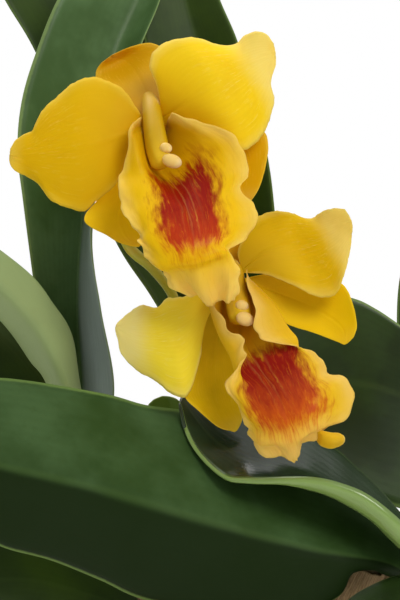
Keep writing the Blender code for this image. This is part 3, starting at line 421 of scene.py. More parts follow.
# Each kind of skin, and the screen colours of its skins in the order their maker takes them.
SKINS = {
    "tepal": {
        "petal_yellow": [(212, 162, 0), (228, 180, 0), (240, 204, 80), (218, 164, 2)],
        "petal_lemon": [(222, 172, 2), (248, 206, 20), (248, 220, 120), (226, 176, 10)],
        "petal_primrose": [(230, 186, 10), (252, 222, 52), (252, 232, 150), (232, 190, 20)],
        "petal_gilded": [(186, 148, 0), (226, 182, 2), (238, 208, 110), (216, 172, 4)],
        "sepal_gold": [(210, 160, 0), (230, 176, 2), (240, 192, 70), (214, 162, 0)],
        "sepal_citrine": [(222, 176, 0), (248, 202, 4), (242, 196, 40), (226, 178, 4)],
        "sepal_amber": [(190, 140, 0), (210, 158, 0), (236, 186, 66), (198, 146, 0)],
        # This skin's deep base colour is painted shadow, where the lip above shades the sepal.
        "sepal_olive": [(172, 142, 0), (230, 188, 4), (240, 202, 60), (230, 188, 16)],
        "lip_curl_gold": [(206, 154, 14), (224, 176, 24), (240, 206, 110), (206, 154, 14)],
    },
    "lip": {
        "upper_lip_gold": [
            (198, 148, 2), (238, 188, 4), (186, 54, 2), (144, 18, 2), (246, 206, 104)
        ],
        "lower_lip_gold": [
            (196, 146, 6), (232, 182, 24), (200, 84, 14), (146, 24, 12), (242, 198, 104)
        ],
    },
    "column": {
        "column_gold": [(226, 182, 20), (198, 156, 0), (172, 146, 0)],
        "anther_cream": [(244, 216, 150), (238, 200, 110), (236, 190, 140)],
    },
    "leaf": {
        "leaf_green": [(44, 66, 22), (28, 44, 12), (128, 156, 80), (128, 156, 78)],
        "leaf_broad": [(64, 90, 50), (44, 68, 26), (120, 148, 76), (110, 136, 70)],
        "leaf_waxed": [(46, 64, 40), (34, 50, 28), (116, 142, 84), (140, 170, 88)],
        # The next skin is a lighter copy of the leaf green: painted light for the leaf that stands
        # most in the light.
        "leaf_dusty": [(90, 122, 74), (60, 90, 40), (140, 166, 96), (96, 120, 70)],
        "leaf_dark": [(52, 74, 8), (36, 56, 6), (104, 130, 62), (60, 80, 34)],
        "leaf_soft": [(60, 84, 34), (44, 66, 22), (130, 156, 84), (158, 176, 116)],
        "sheath_green": [(140, 166, 76), (110, 140, 50), (184, 200, 120), (150, 176, 92)],
    },
    "bulb": {
        "bulb_green": [(104, 122, 52), (74, 92, 38), (120, 92, 58)],
        "old_bulb_brown": [(120, 96, 56), (92, 72, 44), (92, 66, 42)],
    },
    "stem": {
        "stem_green": [(150, 164, 60), (96, 116, 40), (140, 110, 50)],
        "stalk_lime": [(224, 208, 60), (180, 178, 50), (214, 176, 60)],
    },
    "papery": {"papery": [(178, 150, 110), (140, 108, 72), (96, 70, 44)]},
    "clay": {
        "clay_fired": [(178, 98, 62), (150, 78, 48), (200, 130, 92), (206, 178, 152), (96, 62, 40)],
    },
    "bark": {"bark_broken": [(74, 47, 30), (124, 88, 60), (52, 34, 24), (30, 20, 15)]},
    "root": {"root_grey": [(128, 138, 92), (92, 98, 60), (112, 84, 54)]},
}

# What some skins have of their own besides their colours.
SKIN_SETTINGS = {
    # tip: where a petal begins to pale, partly its own colour and partly painted highlight.
    "petal_lemon": {"tip": 0.74},
    "petal_primrose": {"tip": 0.74},
    "petal_gilded": {"tip": 0.74},
    "upper_lip_gold": {"heart": 0.53, "reach": (0.24, 0.75, 0.27)},
    "lower_lip_gold": {"heart": 0.5, "reach": (0.32, 0.88, 0.34)},
    # The dark colour given to leaf_broad is painted shade on its left half.
    "leaf_broad": {"gloss": 0.5, "shine": 0.08, "painted_shade": (18, 32, 6)},
    "leaf_waxed": {"gloss": 0.14, "shine": 0.5, "edge_share": 0.3},
    # The grey given to this leaf is a painted sheen, the white room's reflection.
    "leaf_dusty": {"grey": (172, 184, 180)},
    "leaf_dark": {"gloss": 0.5},
    "leaf_soft": {"gloss": 0.5},
}

# What every petal, sepal and lip shares: light goes a little way into it.
FLESH = {"subsurface_weight": 0.12, "subsurface_scale": 0.003, "specular_ior_level": 0.1}

# The leaves that aren't leaf_green.
LEAF_SKINS = {
    "leaf_left_upright": "leaf_dusty", "leaf_left_arching": "leaf_soft",
    "leaf_front_broad": "leaf_broad", "leaf_front_right": "leaf_waxed",
    "leaf_back_left": "leaf_dark", "leaf_back_right": "leaf_dark",
    "leaf_left_low": "leaf_dark", "leaf_right_upright": "leaf_dark",
    "leaf_front_left_low": "leaf_dark",
}

# The flower stem and the stalks: path, radii, rings, skin and slot.
STALKS = {
    "flower_stem": (FLOWER_STEM, FLOWER_STEM_RADII, 90, "stem_green", "stem_skin"),
    "upper_bloom_stalk": (UPPER_STALK, STALK_RADII, 110, "stalk_lime", "stalk_skin"),
    "lower_bloom_stalk": (LOWER_STALK, STALK_RADII, 70, "stalk_lime", "stalk_skin"),
}

# Each bloom: its nearness, its petals and sepals, its lip with the share of its length where the
# crease lies, its column, and the skins of its petals and sepals in their order and of its lip.
BLOOMS = {
    "upper_bloom": (
        UPPER_BLOOM_NEAR, UPPER_TEPALS, UPPER_LIP, 0.77, UPPER_COLUMN,
        ["sepal_amber", "petal_yellow", "petal_lemon", "sepal_citrine", "sepal_gold"],
        "upper_lip_gold",
    ),
    "lower_bloom": (
        LOWER_BLOOM_NEAR, LOWER_TEPALS, LOWER_LIP, 0.9, LOWER_COLUMN,
        # The left lateral sepal's base is painted dark as the lip's shadow.
        ["sepal_amber", "petal_primrose", "petal_gilded", "sepal_olive", "sepal_citrine"],
        "lower_lip_gold",
    ),
}

# Each light: place, size, energy and colour. They all point at LIGHT_AIM.
LIGHTS = {
    "key_light": ((0.6, -1.2, 1.2), 0.8, 13, (1, 0.98, 0.94)),
    "top_light": ((-0.5, 0.5, 1.7), 1.0, 11, (1, 1, 1)),
}
LIGHT_AIM = (0, 0, 0.3)
FLOOR_RADIUS = 0.9
CAMERA_LENS = 150
CAMERA_SENSOR = 36


def seen_at(right, down, near):
    """Where a point of the front view stands, in millimetres."""
    step = DRAWING_STEP * (1 - near / VIEW_DISTANCE)
    return (
        VIEW_CENTRE_X + (right - DRAWING_CENTRE[0]) * step,
        -near,
        VIEW_CENTRE_Z + (DRAWING_CENTRE[1] - down) * step,
    )


def drawn(points, near=0):
    """A curve of the front view, with its nearness counted from the given one."""
    return [seen_at(right, down, near + out) for right, down, out in points]


def spline_point(a, b, c, d, t):
    return 0.5 * (
        2 * b + (c - a) * t + (2 * a - 5 * b + 4 * c - d) * t**2 + (3 * b - a - 3 * c + d) * t**3
    )


def padded(knots):
    return np.concatenate([2 * knots[:1] - knots[1:2], knots, 2 * knots[-1:] - knots[-2:-1]])


def through(points, count, end=1.0):
    """Points evenly spaced along a smooth curve through the given ones, up to a share of it."""
    knots = np.array(points, float)
    ends = padded(knots)
    fine = [
        spline_point(*ends[i : i + 4], t)
        for i in range(len(knots) - 1)
        for t in np.linspace(0, 1, SPLINE_STEPS, endpoint=False)
    ]
    fine = np.array(fine + [knots[-1]])
    along = np.concatenate([[0], np.cumsum(np.linalg.norm(np.diff(fine, axis=0), axis=1))])
    wanted = np.linspace(0, along[-1] * end, count)
    return np.column_stack([np.interp(wanted, along, fine[:, axis]) for axis in range(3)])


def lofted(stations, steps):
    """Smooth rows through the stations, with this many rows from each one to the next."""
    ends = padded(np.array(stations, float))
    rows = [
        spline_point(*ends[i : i + 4], t)
        for i in range(len(stations) - 1)
        for t in np.linspace(0, 1, steps, endpoint=False)
    ]
    return np.array(rows + [ends[-2]])


def lofted_grid(stations, near, rows, columns):
    """A grid of points through drawn cross-sections, with these steps between its knots."""
    sections = lofted([drawn(section, near) for section in stations], rows)
    return np.array([lofted(section, columns) for section in sections])


def unit(vectors):
    return vectors / np.maximum(np.linalg.norm(vectors, axis=2, keepdims=True), 1e-9)


def surface_normals(grid):
    return unit(np.cross(np.gradient(grid, axis=0), np.gradient(grid, axis=1)))


def new_mesh(name, points, faces):
    mesh = bpy.data.meshes.new(name)
    mesh.from_pydata((np.asarray(points, float) * MM).tolist(), [], faces)
    return mesh


def placed(name, data):
    """An object with this data, in the scene."""
    obj = bpy.data.objects.new(name, data)
    bpy.context.scene.collection.objects.link(obj)
    return obj


def settle(obj):
    """Turns what an object's modifiers make into its own mesh."""
    made = obj.evaluated_get(bpy.context.evaluated_depsgraph_get())
    obj.data = bpy.data.meshes.new_from_object(made)
    obj.modifiers.clear()


def piece(name, points, faces, corners, finish, nodes=(), side=None):
    """A finished piece with a UV pair for each face corner; side is 1 on a blade's front."""
    mesh = new_mesh(name, points, faces)
    layer = mesh.uv_layers.new(name="UVMap")
    layer.data.foreach_set("uv", np.asarray(corners, float).ravel())
    if side is not None:
        facing = mesh.attributes.new("side", "FLOAT", "POINT")
        facing.data.foreach_set("value", np.asarray(side, float))
    mesh.materials.append(finish)
    mesh.shade_smooth()
    obj = placed(name, mesh)
    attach(obj, "root")
    if nodes:
        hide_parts(*nodes)
    return obj


def blade(name, grid, thickness, finish, under=0.0, nodes=None):
    """A closed thin piece round a grid of points, with u along it and v across.

    Its side value is 1 on the face towards the viewer and 0 behind, less wherever under says that
    the viewer sees its underside.
    """
    rows, columns = grid.shape[:2]
    offset = surface_normals(grid) * np.asarray(thickness)[..., None] / 2
    points = np.vstack([(grid + offset).reshape(-1, 3), (grid - offset).reshape(-1, 3)])
    back = rows * columns
    index = np.arange(back).reshape(rows, columns)
    a = index[:-1, :-1].ravel()
    b = index[:-1, 1:].ravel()
    c = index[1:, 1:].ravel()
    d = index[1:, :-1].ravel()
    front_faces = np.stack([a, d, c, b], 1)
    back_faces = np.stack([a, b, c, d], 1) + back
    rim = np.concatenate([index[0], index[1:, -1], index[-1, -2::-1], index[-2:0:-1, 0]])
    after = np.roll(rim, -1)
    rim_faces = np.stack([rim, after, after + back, rim + back], 1)
    faces = np.vstack([front_faces, back_faces, rim_faces])
    u, v = np.meshgrid(np.linspace(0, 1, rows), np.linspace(0, 1, columns), indexing="ij")
    uv = np.column_stack([u.ravel(), v.ravel()])
    uv = np.vstack([uv, uv])
    near = np.broadcast_to(1.0 - np.asarray(under, float), (rows, columns)).ravel()
    side = np.concatenate([near, 1 - near])
    if surface_normals(grid)[..., 1].mean() > 0:
        side = 1 - side
    nodes = (name,) if nodes is None else nodes
    return piece(name, points, faces.tolist(), uv[faces.ravel()], finish, nodes, side)


def across_blade(left, middle, right, columns, bend):
    """Rows from the left margin over the midrib to the right one; bend 1 folds it, 2 cups it."""
    share = np.linspace(-1, 1, columns + 1)[None, :, None]
    side = (right - left)[:, None, :] / 2
    rise = ((left + right) / 2 - middle)[:, None, :]
    return middle[:, None, :] + share * side + np.abs(share) ** bend * rise


def shares(grid):
    """How far each point of a grid is along it, 0 to 1, and across it, -1 to 1."""
    rows, columns = grid.shape[:2]
    return np.linspace(0, 1, rows)[:, None], np.linspace(-1, 1, columns)[None, :]


def lifted(grid, lift):
    return grid + surface_normals(grid) * lift[..., None]


def ruffled(grid, height, waves, phase=0.0):
    """The blade with its margins waved, more towards its tip than at its base."""
    along, across = shares(grid)
    wave = np.sin(2 * math.pi * waves * along + phase + 1.3 * across)
    return lifted(grid, height * np.abs(across) ** 3 * wave * np.sin(math.pi * along) ** 0.5)


def crimped(grid, height, waves, seed):
    """Small uneven frills close to the margins and the tip, no two of them alike."""
    along, across = shares(grid)
    draw = random.Random(seed)
    edge = np.maximum(np.abs(across) ** 6, 0.4 * along**14)
    round_tip = np.arctan2(across, 1.6 * (1.02 - along)) / math.pi
    total = 0 * along * across
    for stretch in (0.45, 0.8, 1.0, 1.6, 2.3):
        phase = draw.uniform(0, 2 * math.pi)
        share = draw.uniform(0.5, 1.0) / stretch**0.6
        total = total + share * np.sin(2 * math.pi * waves * stretch * round_tip + phase)
    swell = 0.6 + 0.4 * np.sin(2 * math.pi * 2.3 * round_tip + draw.uniform(0, 6))
    return lifted(grid, height * edge * swell * total * np.minimum(1, 6 * along))


def notched(grid, depth, waves, seed):
    """The blade's margins drawn in and out in its own plane, by uneven small scallops."""
    along, across = shares(grid)
    draw = random.Random(seed)
    total = 0 * along
    for stretch in (0.4, 1.0, 1.7, 2.9):
        for side in (-1, 1):
            phase = draw.uniform(0, 2 * math.pi)
            wave = np.sin(2 * math.pi * waves * stretch * along + phase)
            total = total + wave * (across * side > 0) * draw.uniform(0.5, 1.0) / stretch**0.7
    outward = unit(np.gradient(grid, axis=1) * np.sign(across)[..., None])
    reach = depth * np.abs(across) ** 5 * total * np.sin(math.pi * along) ** 0.4
    lengthwise = unit(np.gradient(grid, axis=0))
    tip = np.sin(2 * math.pi * 2.2 * across + draw.uniform(0, 6))
    tip = tip + 0.6 * np.sin(2 * math.pi * 4.7 * across + draw.uniform(0, 6))
    push = 0.3 * depth * along**12 * tip
    return grid + outward * reach[..., None] + lengthwise * push[..., None]


def furrowed(grid, depth):
    """The blade with a furrow down its midrib, fading out towards the tip."""
    along, across = shares(grid)
    return lifted(grid, -depth * np.exp(-((across / FURROW_WIDTH) ** 2)) * (1 - along**3))


def thinned(grid, middle, margin):
    """A blade's thickness, full at the midrib and rounded off at the margins and the tip."""
    along, across = shares(grid)
    flat = middle + (margin - middle) * across**2
    rounding = np.sqrt(np.clip(1 - np.maximum(np.abs(across) ** 18, along**60), 0.05, 1))
    return flat * rounding


def ring_faces(rings, sides):
    """The four-sided faces between rings of points, each ring with as many sides."""
    faces = []
    for i in range(rings - 1):
        for k in range(sides):
            a = i * sides + k
            b = i * sides + (k + 1) % sides
            faces.append((a, b, b + sides, a + sides))
    return faces


def tube(name, centres, radii, finish, nodes=(), sides=28, swell=None):
    """A round piece along a curve, its ends rounded; swell(share, angle) scales its radius."""
    rings = len(centres)
    points = []
    frames = stalk_frames(centres)
    for i, (centre, radius, (side, up)) in enumerate(zip(centres, radii, frames)):
        share = i / (rings - 1)
        for k in range(sides):
            angle = 2 * math.pi * k / sides
            reach = radius * (swell(share, angle) if swell else 1)
            points.append(centre + reach * (math.cos(angle) * side + math.sin(angle) * up))
    points += [centres[0], centres[-1]]
    faces = ring_faces(rings, sides)
    corners = []
    for i in range(rings - 1):
        for k in range(sides):
            u0, u1 = i / (rings - 1), (i + 1) / (rings - 1)
            v0, v1 = k / sides, (k + 1) / sides
            corners += [(u0, v0), (u0, v1), (u1, v1), (u1, v0)]
    last = (rings - 1) * sides
    for k in range(sides):
        after = (k + 1) % sides
        faces.append((rings * sides, after, k))
        corners += [(0, k / sides)] * 3
        faces.append((rings * sides + 1, last + k, last + after))
        corners += [(1, k / sides)] * 3
    return piece(name, points, faces, corners, finish, nodes)


def stalk_frames(centres):
    """A right-angled pair of directions at each point of a curve, turning as little as they can."""
    tangents = np.gradient(centres, axis=0)
    tangents /= np.linalg.norm(tangents, axis=1, keepdims=True)
    side = np.cross(tangents[0], (0.3, 1.0, 0.1))
    frames = []
    for tangent in tangents:
        side = side - tangent * side.dot(tangent)
        side /= np.linalg.norm(side)
        frames.append((side, np.cross(tangent, side)))
    return frames


def along_radii(radii, count):
    """The radii of a tube at evenly spaced rings, with both its ends rounded off."""
    shares_along = np.linspace(0, 1, count)
    widths = np.interp(shares_along, np.linspace(0, 1, len(radii)), radii)
    kernel = np.hanning(2 * (count // 12) + 3)
    smooth = np.convolve(np.pad(widths, len(kernel) // 2, "edge"), kernel / kernel.sum(), "valid")
    ends = np.minimum(shares_along, 1 - shares_along) * (count - 1)
    return smooth * np.sqrt(np.clip(1 - (1 - np.minimum(ends / 2, 1)) ** 2, 0.2, 1))


class Value:
    """A number inside a material, so that its sums read like ordinary ones."""

    def __init__(self, graph, socket):
        self.graph = graph
        self.socket = socket

    def __add__(self, other):
        return self.graph.sum("ADD", self, other)

    def __radd__(self, other):
        return self.graph.sum("ADD", other, self)

    def __sub__(self, other):
        return self.graph.sum("SUBTRACT", self, other)

    def __rsub__(self, other):
        return self.graph.sum("SUBTRACT", other, self)

    def __mul__(self, other):
        return self.graph.sum("MULTIPLY", self, other)

    def __truediv__(self, other):
        return self.graph.sum("DIVIDE", self, other)


class Graph:
    """Makes the nodes of one material or of one geometry tree."""

    def __init__(self, tree):
        self.tree = tree

    def node(self, kind, settings=None, inputs=None):
        """A node with its settings made first and then its inputs filled or linked."""
        made = self.tree.nodes.new(kind)
        for name, value in (settings or {}).items():
            setattr(made, name, value)
        for name, value in (inputs or {}).items():
            if isinstance(value, Value):
                self.tree.links.new(value.socket, made.inputs[name])
            else:
                made.inputs[name].default_value = value
        return made

    def value(self, kind, output=0, settings=None, inputs=None):
        return Value(self, self.node(kind, settings, inputs).outputs[output])

    def sum(self, operation, a, b=0.0):
        return self.value("ShaderNodeMath", 0, {"operation": operation}, {0: a, 1: b})

    def vector(self, a=0.0, b=0.0, c=0.0):
        return self.value("ShaderNodeCombineXYZ", 0, None, {0: a, 1: b, 2: c})

    def parts(self, vector):
        """The three numbers that a vector is made of."""
        split = self.node("ShaderNodeSeparateXYZ", None, {0: vector})
        return [Value(self, split.outputs[axis]) for axis in range(3)]

    def rise(self, value, low, high):
        """0 up to low, 1 from high on, and smooth between them."""
        settings = {"interpolation_type": "SMOOTHSTEP"}
        inputs = {"Value": value, "From Min": low, "From Max": high}
        return self.value("ShaderNodeMapRange", 0, settings, inputs)


class Finish(Graph):
    """One material: a skin with fixed settings, and patterns that vary over the piece."""

    def __init__(self, name, **fixed):
        self.material = bpy.data.materials.new(name)
        self.material.use_nodes = True
        super().__init__(self.material.node_tree)
        self.skin = self.tree.nodes["Principled BSDF"]
        for socket, value in fixed.items():
            title = socket.replace("_", " ").title().replace("Ior", "IOR")
            self.skin.inputs[title].default_value = value

    def uv(self):
        """How far along the piece, and how far across or round it."""
        return self.parts(self.value("ShaderNodeUVMap"))[:2]

    def place(self):
        return self.value("ShaderNodeTexCoord", 3)

    def side(self):
        """1 on the front of a blade and 0 on its back."""
        return self.value("ShaderNodeAttribute", 2, {"attribute_name": "side"})

    def noise(self, scale, where=None, detail=4.0, roughness=0.55):
        inputs = {"Vector": where or self.place(), "Scale": scale, "Detail": detail}
        inputs["Roughness"] = roughness
        return self.value("ShaderNodeTexNoise", 0, None, inputs)

    def cracks(self, scale, where):
        """How far a place is from the cracks between uneven cells."""
        inputs = {"Vector": where, "Scale": scale}
        return self.value("ShaderNodeTexVoronoi", 0, {"feature": "DISTANCE_TO_EDGE"}, inputs)

    def away(self, value, middle):
        """How far a value is from its middle, either way."""
        return self.sum("ABSOLUTE", value - middle)

    def wave(self, value):
        return self.sum("SINE", value)

    def stripes(self, value):
        """A wave between 0 and 1."""
        return self.wave(value) * 0.5 + 0.5

    def mixed(self, ground, layers):
        """The ground colour under its layers, each of them a share and a colour."""
        for share, colour in layers:
            inputs = {0: share, 6: ground, 7: colour}
            ground = self.value("ShaderNodeMix", 2, {"data_type": "RGBA"}, inputs)
        return ground

    def coloured(self, ground, *layers):
        self.tree.links.new(self.mixed(ground, layers).socket, self.skin.inputs["Base Color"])

    def rough(self, value):
        self.tree.links.new(value.socket, self.skin.inputs["Roughness"])

    def bump(self, height, distance, strength):
        inputs = {"Height": height, "Distance": distance * MM, "Strength": strength}
        bumped = self.value("ShaderNodeBump", 0, None, inputs)
        self.tree.links.new(bumped.socket, self.skin.inputs["Normal"])


def tone(red, green, blue):
    """A colour from its 0 to 255 screen values."""
    linear = [
        c / 12.92 if c <= 0.04045 else ((c + 0.055) / 1.055) ** 2.4
        for c in (red / 255, green / 255, blue / 255)
    ]
    return (*linear, 1.0)


def tepal_finish(name, deep, main, pale, back, tip=0.92):
    """A petal's skin: deeper at its base, pale at its waved margin, with fine veins fanning out.

    It pales from the tip's share of its length on: partly the petal's own paler tip, partly a
    painted highlight where the tip turns to the light.
    """
    skin = Finish(name, subsurface_radius=(1.0, 0.5, 0.1), **FLESH)
    u, v = skin.uv()
    edge = skin.away(v, 0.5) * 2
    cloud = skin.noise(60.0)
    drift = skin.noise(9.0, skin.vector(u * 0.6, v * 4))
    veins = skin.stripes(v * 150 + drift * 9)
    branch = skin.wave(v * 320 + drift * 14 + skin.noise(14.0, skin.vector(u * 2, v)) * 7) * 0.5
    dashes = skin.noise(26.0, skin.vector(u * 0.35, v * 2.6 + drift * 0.2), 2.0)
    skin.coloured(
        deep,
        (skin.rise(u, 0.02, 0.55), main),
        (skin.rise(edge + cloud * 0.3, 0.95, 1.3) * 0.7, pale),
        # Partly painted highlight: the tip pales where it turns to the light.
        (skin.rise(u + cloud * 0.14, tip, tip + 0.18) * 0.75, pale),
        (skin.rise(cloud, 0.45, 0.75) * 0.3, deep),
        ((1 - veins) * 0.07, deep),
        (skin.rise(dashes, 0.55, 0.72) * skin.rise(u, 0.3, 0.7) * 0.35, pale),
        ((1 - skin.side()) * 0.7, back),
    )
    skin.rough(0.52 + cloud * 0.16)
    skin.bump(veins * 0.4 + branch * 0.3 + skin.noise(900.0) * 0.3, 0.06, 0.25)
    return skin.material


def lip_finish(name, ground, bright, red, dark, pale, heart, reach):
    """A lip's skin: golden, pale at the frilled margin, with a streaked dark red heart.

    The heart lies round a share of the lip's width, and reach says between which shares of its
    length it runs and how far it spreads.
    """
    skin = Finish(name, subsurface_radius=(1.0, 0.4, 0.1), **FLESH)
    u, v = skin.uv()
    low, high, width = reach
    edge = skin.away(v, 0.5) * 2
    cloud = skin.noise(70.0)
    drift = skin.noise(6.0, skin.vector(u * 1.5, v * 3))
    streak = skin.noise(30.0, skin.vector(u * 0.22, v * 1.6 + drift * 0.12), 5.0, 0.65)
    fine = skin.noise(44.0, skin.vector(u * 0.16, v * 2.4 + drift * 0.2), 3.0)
    blot = skin.noise(13.0, skin.vector(u, v * 1.3), 3.0) - 0.5
    veins = skin.stripes(v * 90 + drift * 16 + u * 3)
    stretch = skin.away(v, heart) / width
    arm = skin.rise(stretch, 0.25, 1.0) * 0.06
    end = skin.rise(u + blot * 0.1 + (streak - 0.5) * 0.22 + arm, low - 0.03, low + 0.08)
    end = end * (1 - skin.rise(u + blot * 0.16 + (streak - 0.5) * 0.3, high - 0.14, high + 0.08))
    blotch = end * (1 - skin.rise(stretch + blot * 0.9 + (streak - 0.5) * 0.6, 0.6, 1.18))
    middle = 1 - skin.rise(skin.away(v, heart), 0.02, 0.11)
    lines = skin.rise(skin.wave(v * 120 + drift * 7), 0.35, 1.0) * middle
    lines = lines * (1 - skin.rise(u + cloud * 0.2, 0.55, 0.85))
    stain = [
        (skin.rise(u + blot * 0.3, low + 0.16, high - 0.04), red),
        (skin.rise(streak, 0.5, 0.7) * 0.6, red),
        (skin.rise(fine, 0.55, 0.8) * 0.3, bright),
        (skin.rise(1 - fine, 0.58, 0.74) * 0.5, dark),
        (lines * 0.1, pale),
    ]
    skin.coloured(
        ground,
        (skin.rise(u, 0.0, 0.4), bright),
        (skin.rise(edge + cloud * 0.35, 0.86, 1.26) * 0.8, pale),
        (skin.rise(u + cloud * 0.16, 0.84, 1.08) * 0.8, pale),
        (skin.rise(streak, 0.5, 0.75) * 0.25, ground),
        (blotch * skin.side(), skin.mixed(dark, stain)),
    )
    skin.rough(0.4 + cloud * 0.18)
    skin.bump(veins * 0.35 + streak * 0.8 + skin.noise(700.0) * 0.3, 0.2, 0.35)
    return skin.material


def leaf_finish(
    name, top, shade, margin, under, gloss=0.42, edge_share=0.6, shine=0.3, painted_shade=None, grey=None
):
    """A strap leaf's skin: thick and waxy, mottled, with a pale margin and a lighter back.

    Of its last two colours, one is painted shade laid on its left half, and the other a painted
    grey sheen, the white room's reflection, on the right half of its foot.
    """
    skin = Finish(name, coat_weight=0.3 * (0.5 - gloss), specular_ior_level=shine)
    u, v = skin.uv()
    edge = skin.away(v, 0.5) * 2
    cloud = skin.noise(28.0)
    grain = skin.noise(380.0, None, 3.0)
    drift = skin.noise(5.0, skin.vector(u, v * 2))
    brushed = skin.noise(60.0, skin.vector(u * 0.25, v * 2.5), 5.0)
    lines = skin.stripes(v * 130 + drift * 5)
    layers = [
        (skin.rise(cloud, 0.35, 0.68), shade),
        (skin.rise(grain, 0.5, 0.8) * 0.25, shade),
        ((1 - lines) * 0.1, shade),
    ]
    # Painted shade: the left half is darkened where it lies in shade.
    if painted_shade:
        half = 1 - skin.rise(v + (cloud - 0.5) * 0.05, 0.46, 0.515)
        layers.append((half * (1 - cloud * 0.2), tone(*painted_shade)))
    # Painted sheen: a grey wash on the right half of the foot, reflecting the white room.
    if grey:
        half = skin.rise(v, 0.5, 0.62) * (1 - skin.rise(u + brushed * 0.2, 0.42, 0.68))
        layers.append((half * (0.35 + brushed * 0.7), tone(*grey)))
    keel = 1 - skin.rise(skin.away(v, 0.5), 0.004, 0.03)
    skin.coloured(
        top,
        *layers,
        (keel * 0.05, margin),
        ((1 - skin.side()) * (0.95 - cloud * 0.3), under),
        (skin.rise(edge + grain * 0.02, 0.965, 0.995) * edge_share, margin),
    )
    skin.rough(gloss - 0.06 + cloud * 0.12 + brushed * 0.1)
    skin.bump(lines * 0.3 + grain * 0.5 + brushed * 0.6, 0.12, 0.35)
    return skin.material


def bulb_finish(name, young, old, scar):
    """A pseudobulb's skin: ribbed green, browner at the foot and at its joint rings."""
    skin = Finish(name)
    u, v = skin.uv()
    cloud = skin.noise(50.0)
    ribs = skin.stripes(v * 88 + cloud * 3)
    ring = skin.rise(skin.wave(u * 18.85 + cloud * 0.4), 0.9, 0.99)
    skin.coloured(
        young,
        (skin.rise(cloud, 0.35, 0.65), old),
        (1 - skin.rise(u + cloud * 0.1, 0.05, 0.3), scar),
        (ring * 0.7, scar),
        ((1 - ribs) * 0.25, old),
    )
    skin.rough(0.42 + cloud * 0.3)
    skin.bump(ribs * 0.6 + ring * 0.6 + skin.noise(500.0) * 0.2, 0.5, 0.5)
    return skin.material


def papery_finish(name, straw, brown, dark):
    """A dry sheath's skin: thin straw-brown paper, streaked by its fibres."""
    skin = Finish(name, roughness=0.75)
    u, v = skin.uv()
    streak = skin.noise(40.0, skin.vector(u * 0.35, v * 3), 6.0)
    fibre = skin.stripes(v * 210 + streak * 8)
    spots = skin.noise(160.0)
    skin.coloured(
        straw,
        (skin.rise(streak, 0.35, 0.65), brown),
        ((1 - fibre) * 0.4, dark),
        (skin.rise(spots, 0.55, 0.72) * 0.6, dark),
    )
    skin.bump(fibre * 0.7 + spots * 0.5, 0.35, 0.6)
    return skin.material


def stem_finish(name, light, deep, blush):
    """A flower stalk's skin: smooth, faintly striped, with faint blushes."""
    skin = Finish(name, subsurface_weight=0.1, subsurface_scale=0.003)
    u, v = skin.uv()
    cloud = skin.noise(90.0)
    stripe = skin.stripes(v * 50 + cloud * 4)
    skin.coloured(
        deep,
        (skin.rise(u, 0.1, 0.9), light),
        ((1 - stripe) * 0.25, deep),
        (skin.rise(cloud, 0.55, 0.75) * 0.5, blush),
    )
    skin.rough(0.35 + cloud * 0.2)
    skin.bump(stripe * 0.5 + skin.noise(800.0) * 0.4, 0.15, 0.3)
    return skin.material


def column_finish(name, tip, body, blush):
    """A column's skin: the body's gold, paler at its tip, with faint blushes."""
    skin = Finish(
        name, specular_ior_level=0.25, subsurface_weight=0.1, subsurface_scale=0.002,
        subsurface_radius=(1.0, 0.5, 0.1),
    )
    cloud = skin.noise(120.0)
    skin.coloured(
        body,
        (skin.rise(skin.uv()[0] + cloud * 0.2, 0.7, 1.1), tip),
        (skin.rise(cloud, 0.5, 0.75) * 0.4, blush),
    )
    skin.rough(0.42 + cloud * 0.2)
    skin.bump(cloud, 0.3, 0.3)
    return skin.material


def clay_finish(name, fired, deep, grit, mineral, wet):
    """Fired clay, darker where the bark keeps it damp, with a pale mineral bloom."""
    skin = Finish(name)
    where = skin.place()
    height = skin.parts(where)[2]
    cloud = skin.noise(22.0, where, 6.0)
    grain = skin.noise(700.0, where)
    turning = skin.stripes(height * 2600 + cloud * 9)
    bloom = skin.rise(skin.noise(34.0, where, 8.0, 0.7) + height * 1.2, 0.5, 0.95)
    damp = 1 - skin.rise(height + cloud * 0.02, 0.01, 0.035)
    skin.coloured(
        fired,
        (skin.rise(cloud, 0.35, 0.7), deep),
        (skin.rise(grain, 0.45, 0.75) * 0.35, grit),
        (bloom * 0.22, mineral),
        (damp * 0.5, wet),
    )
    skin.rough(0.75 + grain * 0.2)
    skin.bump(grain * 0.6 + turning * 0.12 + cloud * 0.5, 0.35, 0.5)
    return skin.material


def bark_finish(name, damp, dry, specks, gaps):
    """Broken bark: cracked plates, dark in the cracks and paler where it has worn."""
    skin = Finish(name, roughness=0.92)
    where = skin.place()
    cloud = skin.noise(90.0, where, 6.0)
    crack = skin.cracks(260.0, where)
    skin.coloured(
        damp,
        (skin.rise(cloud, 0.3, 0.7), dry),
        (skin.noise(600.0, where) * 0.5, specks),
        (1 - skin.rise(crack, 0.02, 0.12), gaps),
    )
    skin.bump(crack * 1.2 + cloud, 1.0, 0.7)
    return skin.material


def root_finish(name, pale, deep, scales):
    """Rhizome and roots: grey-green skin with brown scales across it."""
    skin = Finish(name, roughness=0.7)
    where = skin.place()
    cloud = skin.noise(120.0, where, 5.0)
    scale = skin.noise(420.0, where)
    skin.coloured(
        pale,
        (skin.rise(cloud, 0.35, 0.65), deep),
        (skin.rise(scale, 0.5, 0.68) * 0.7, scales),
    )
    skin.bump(scale + cloud, 0.6, 0.6)
    return skin.material


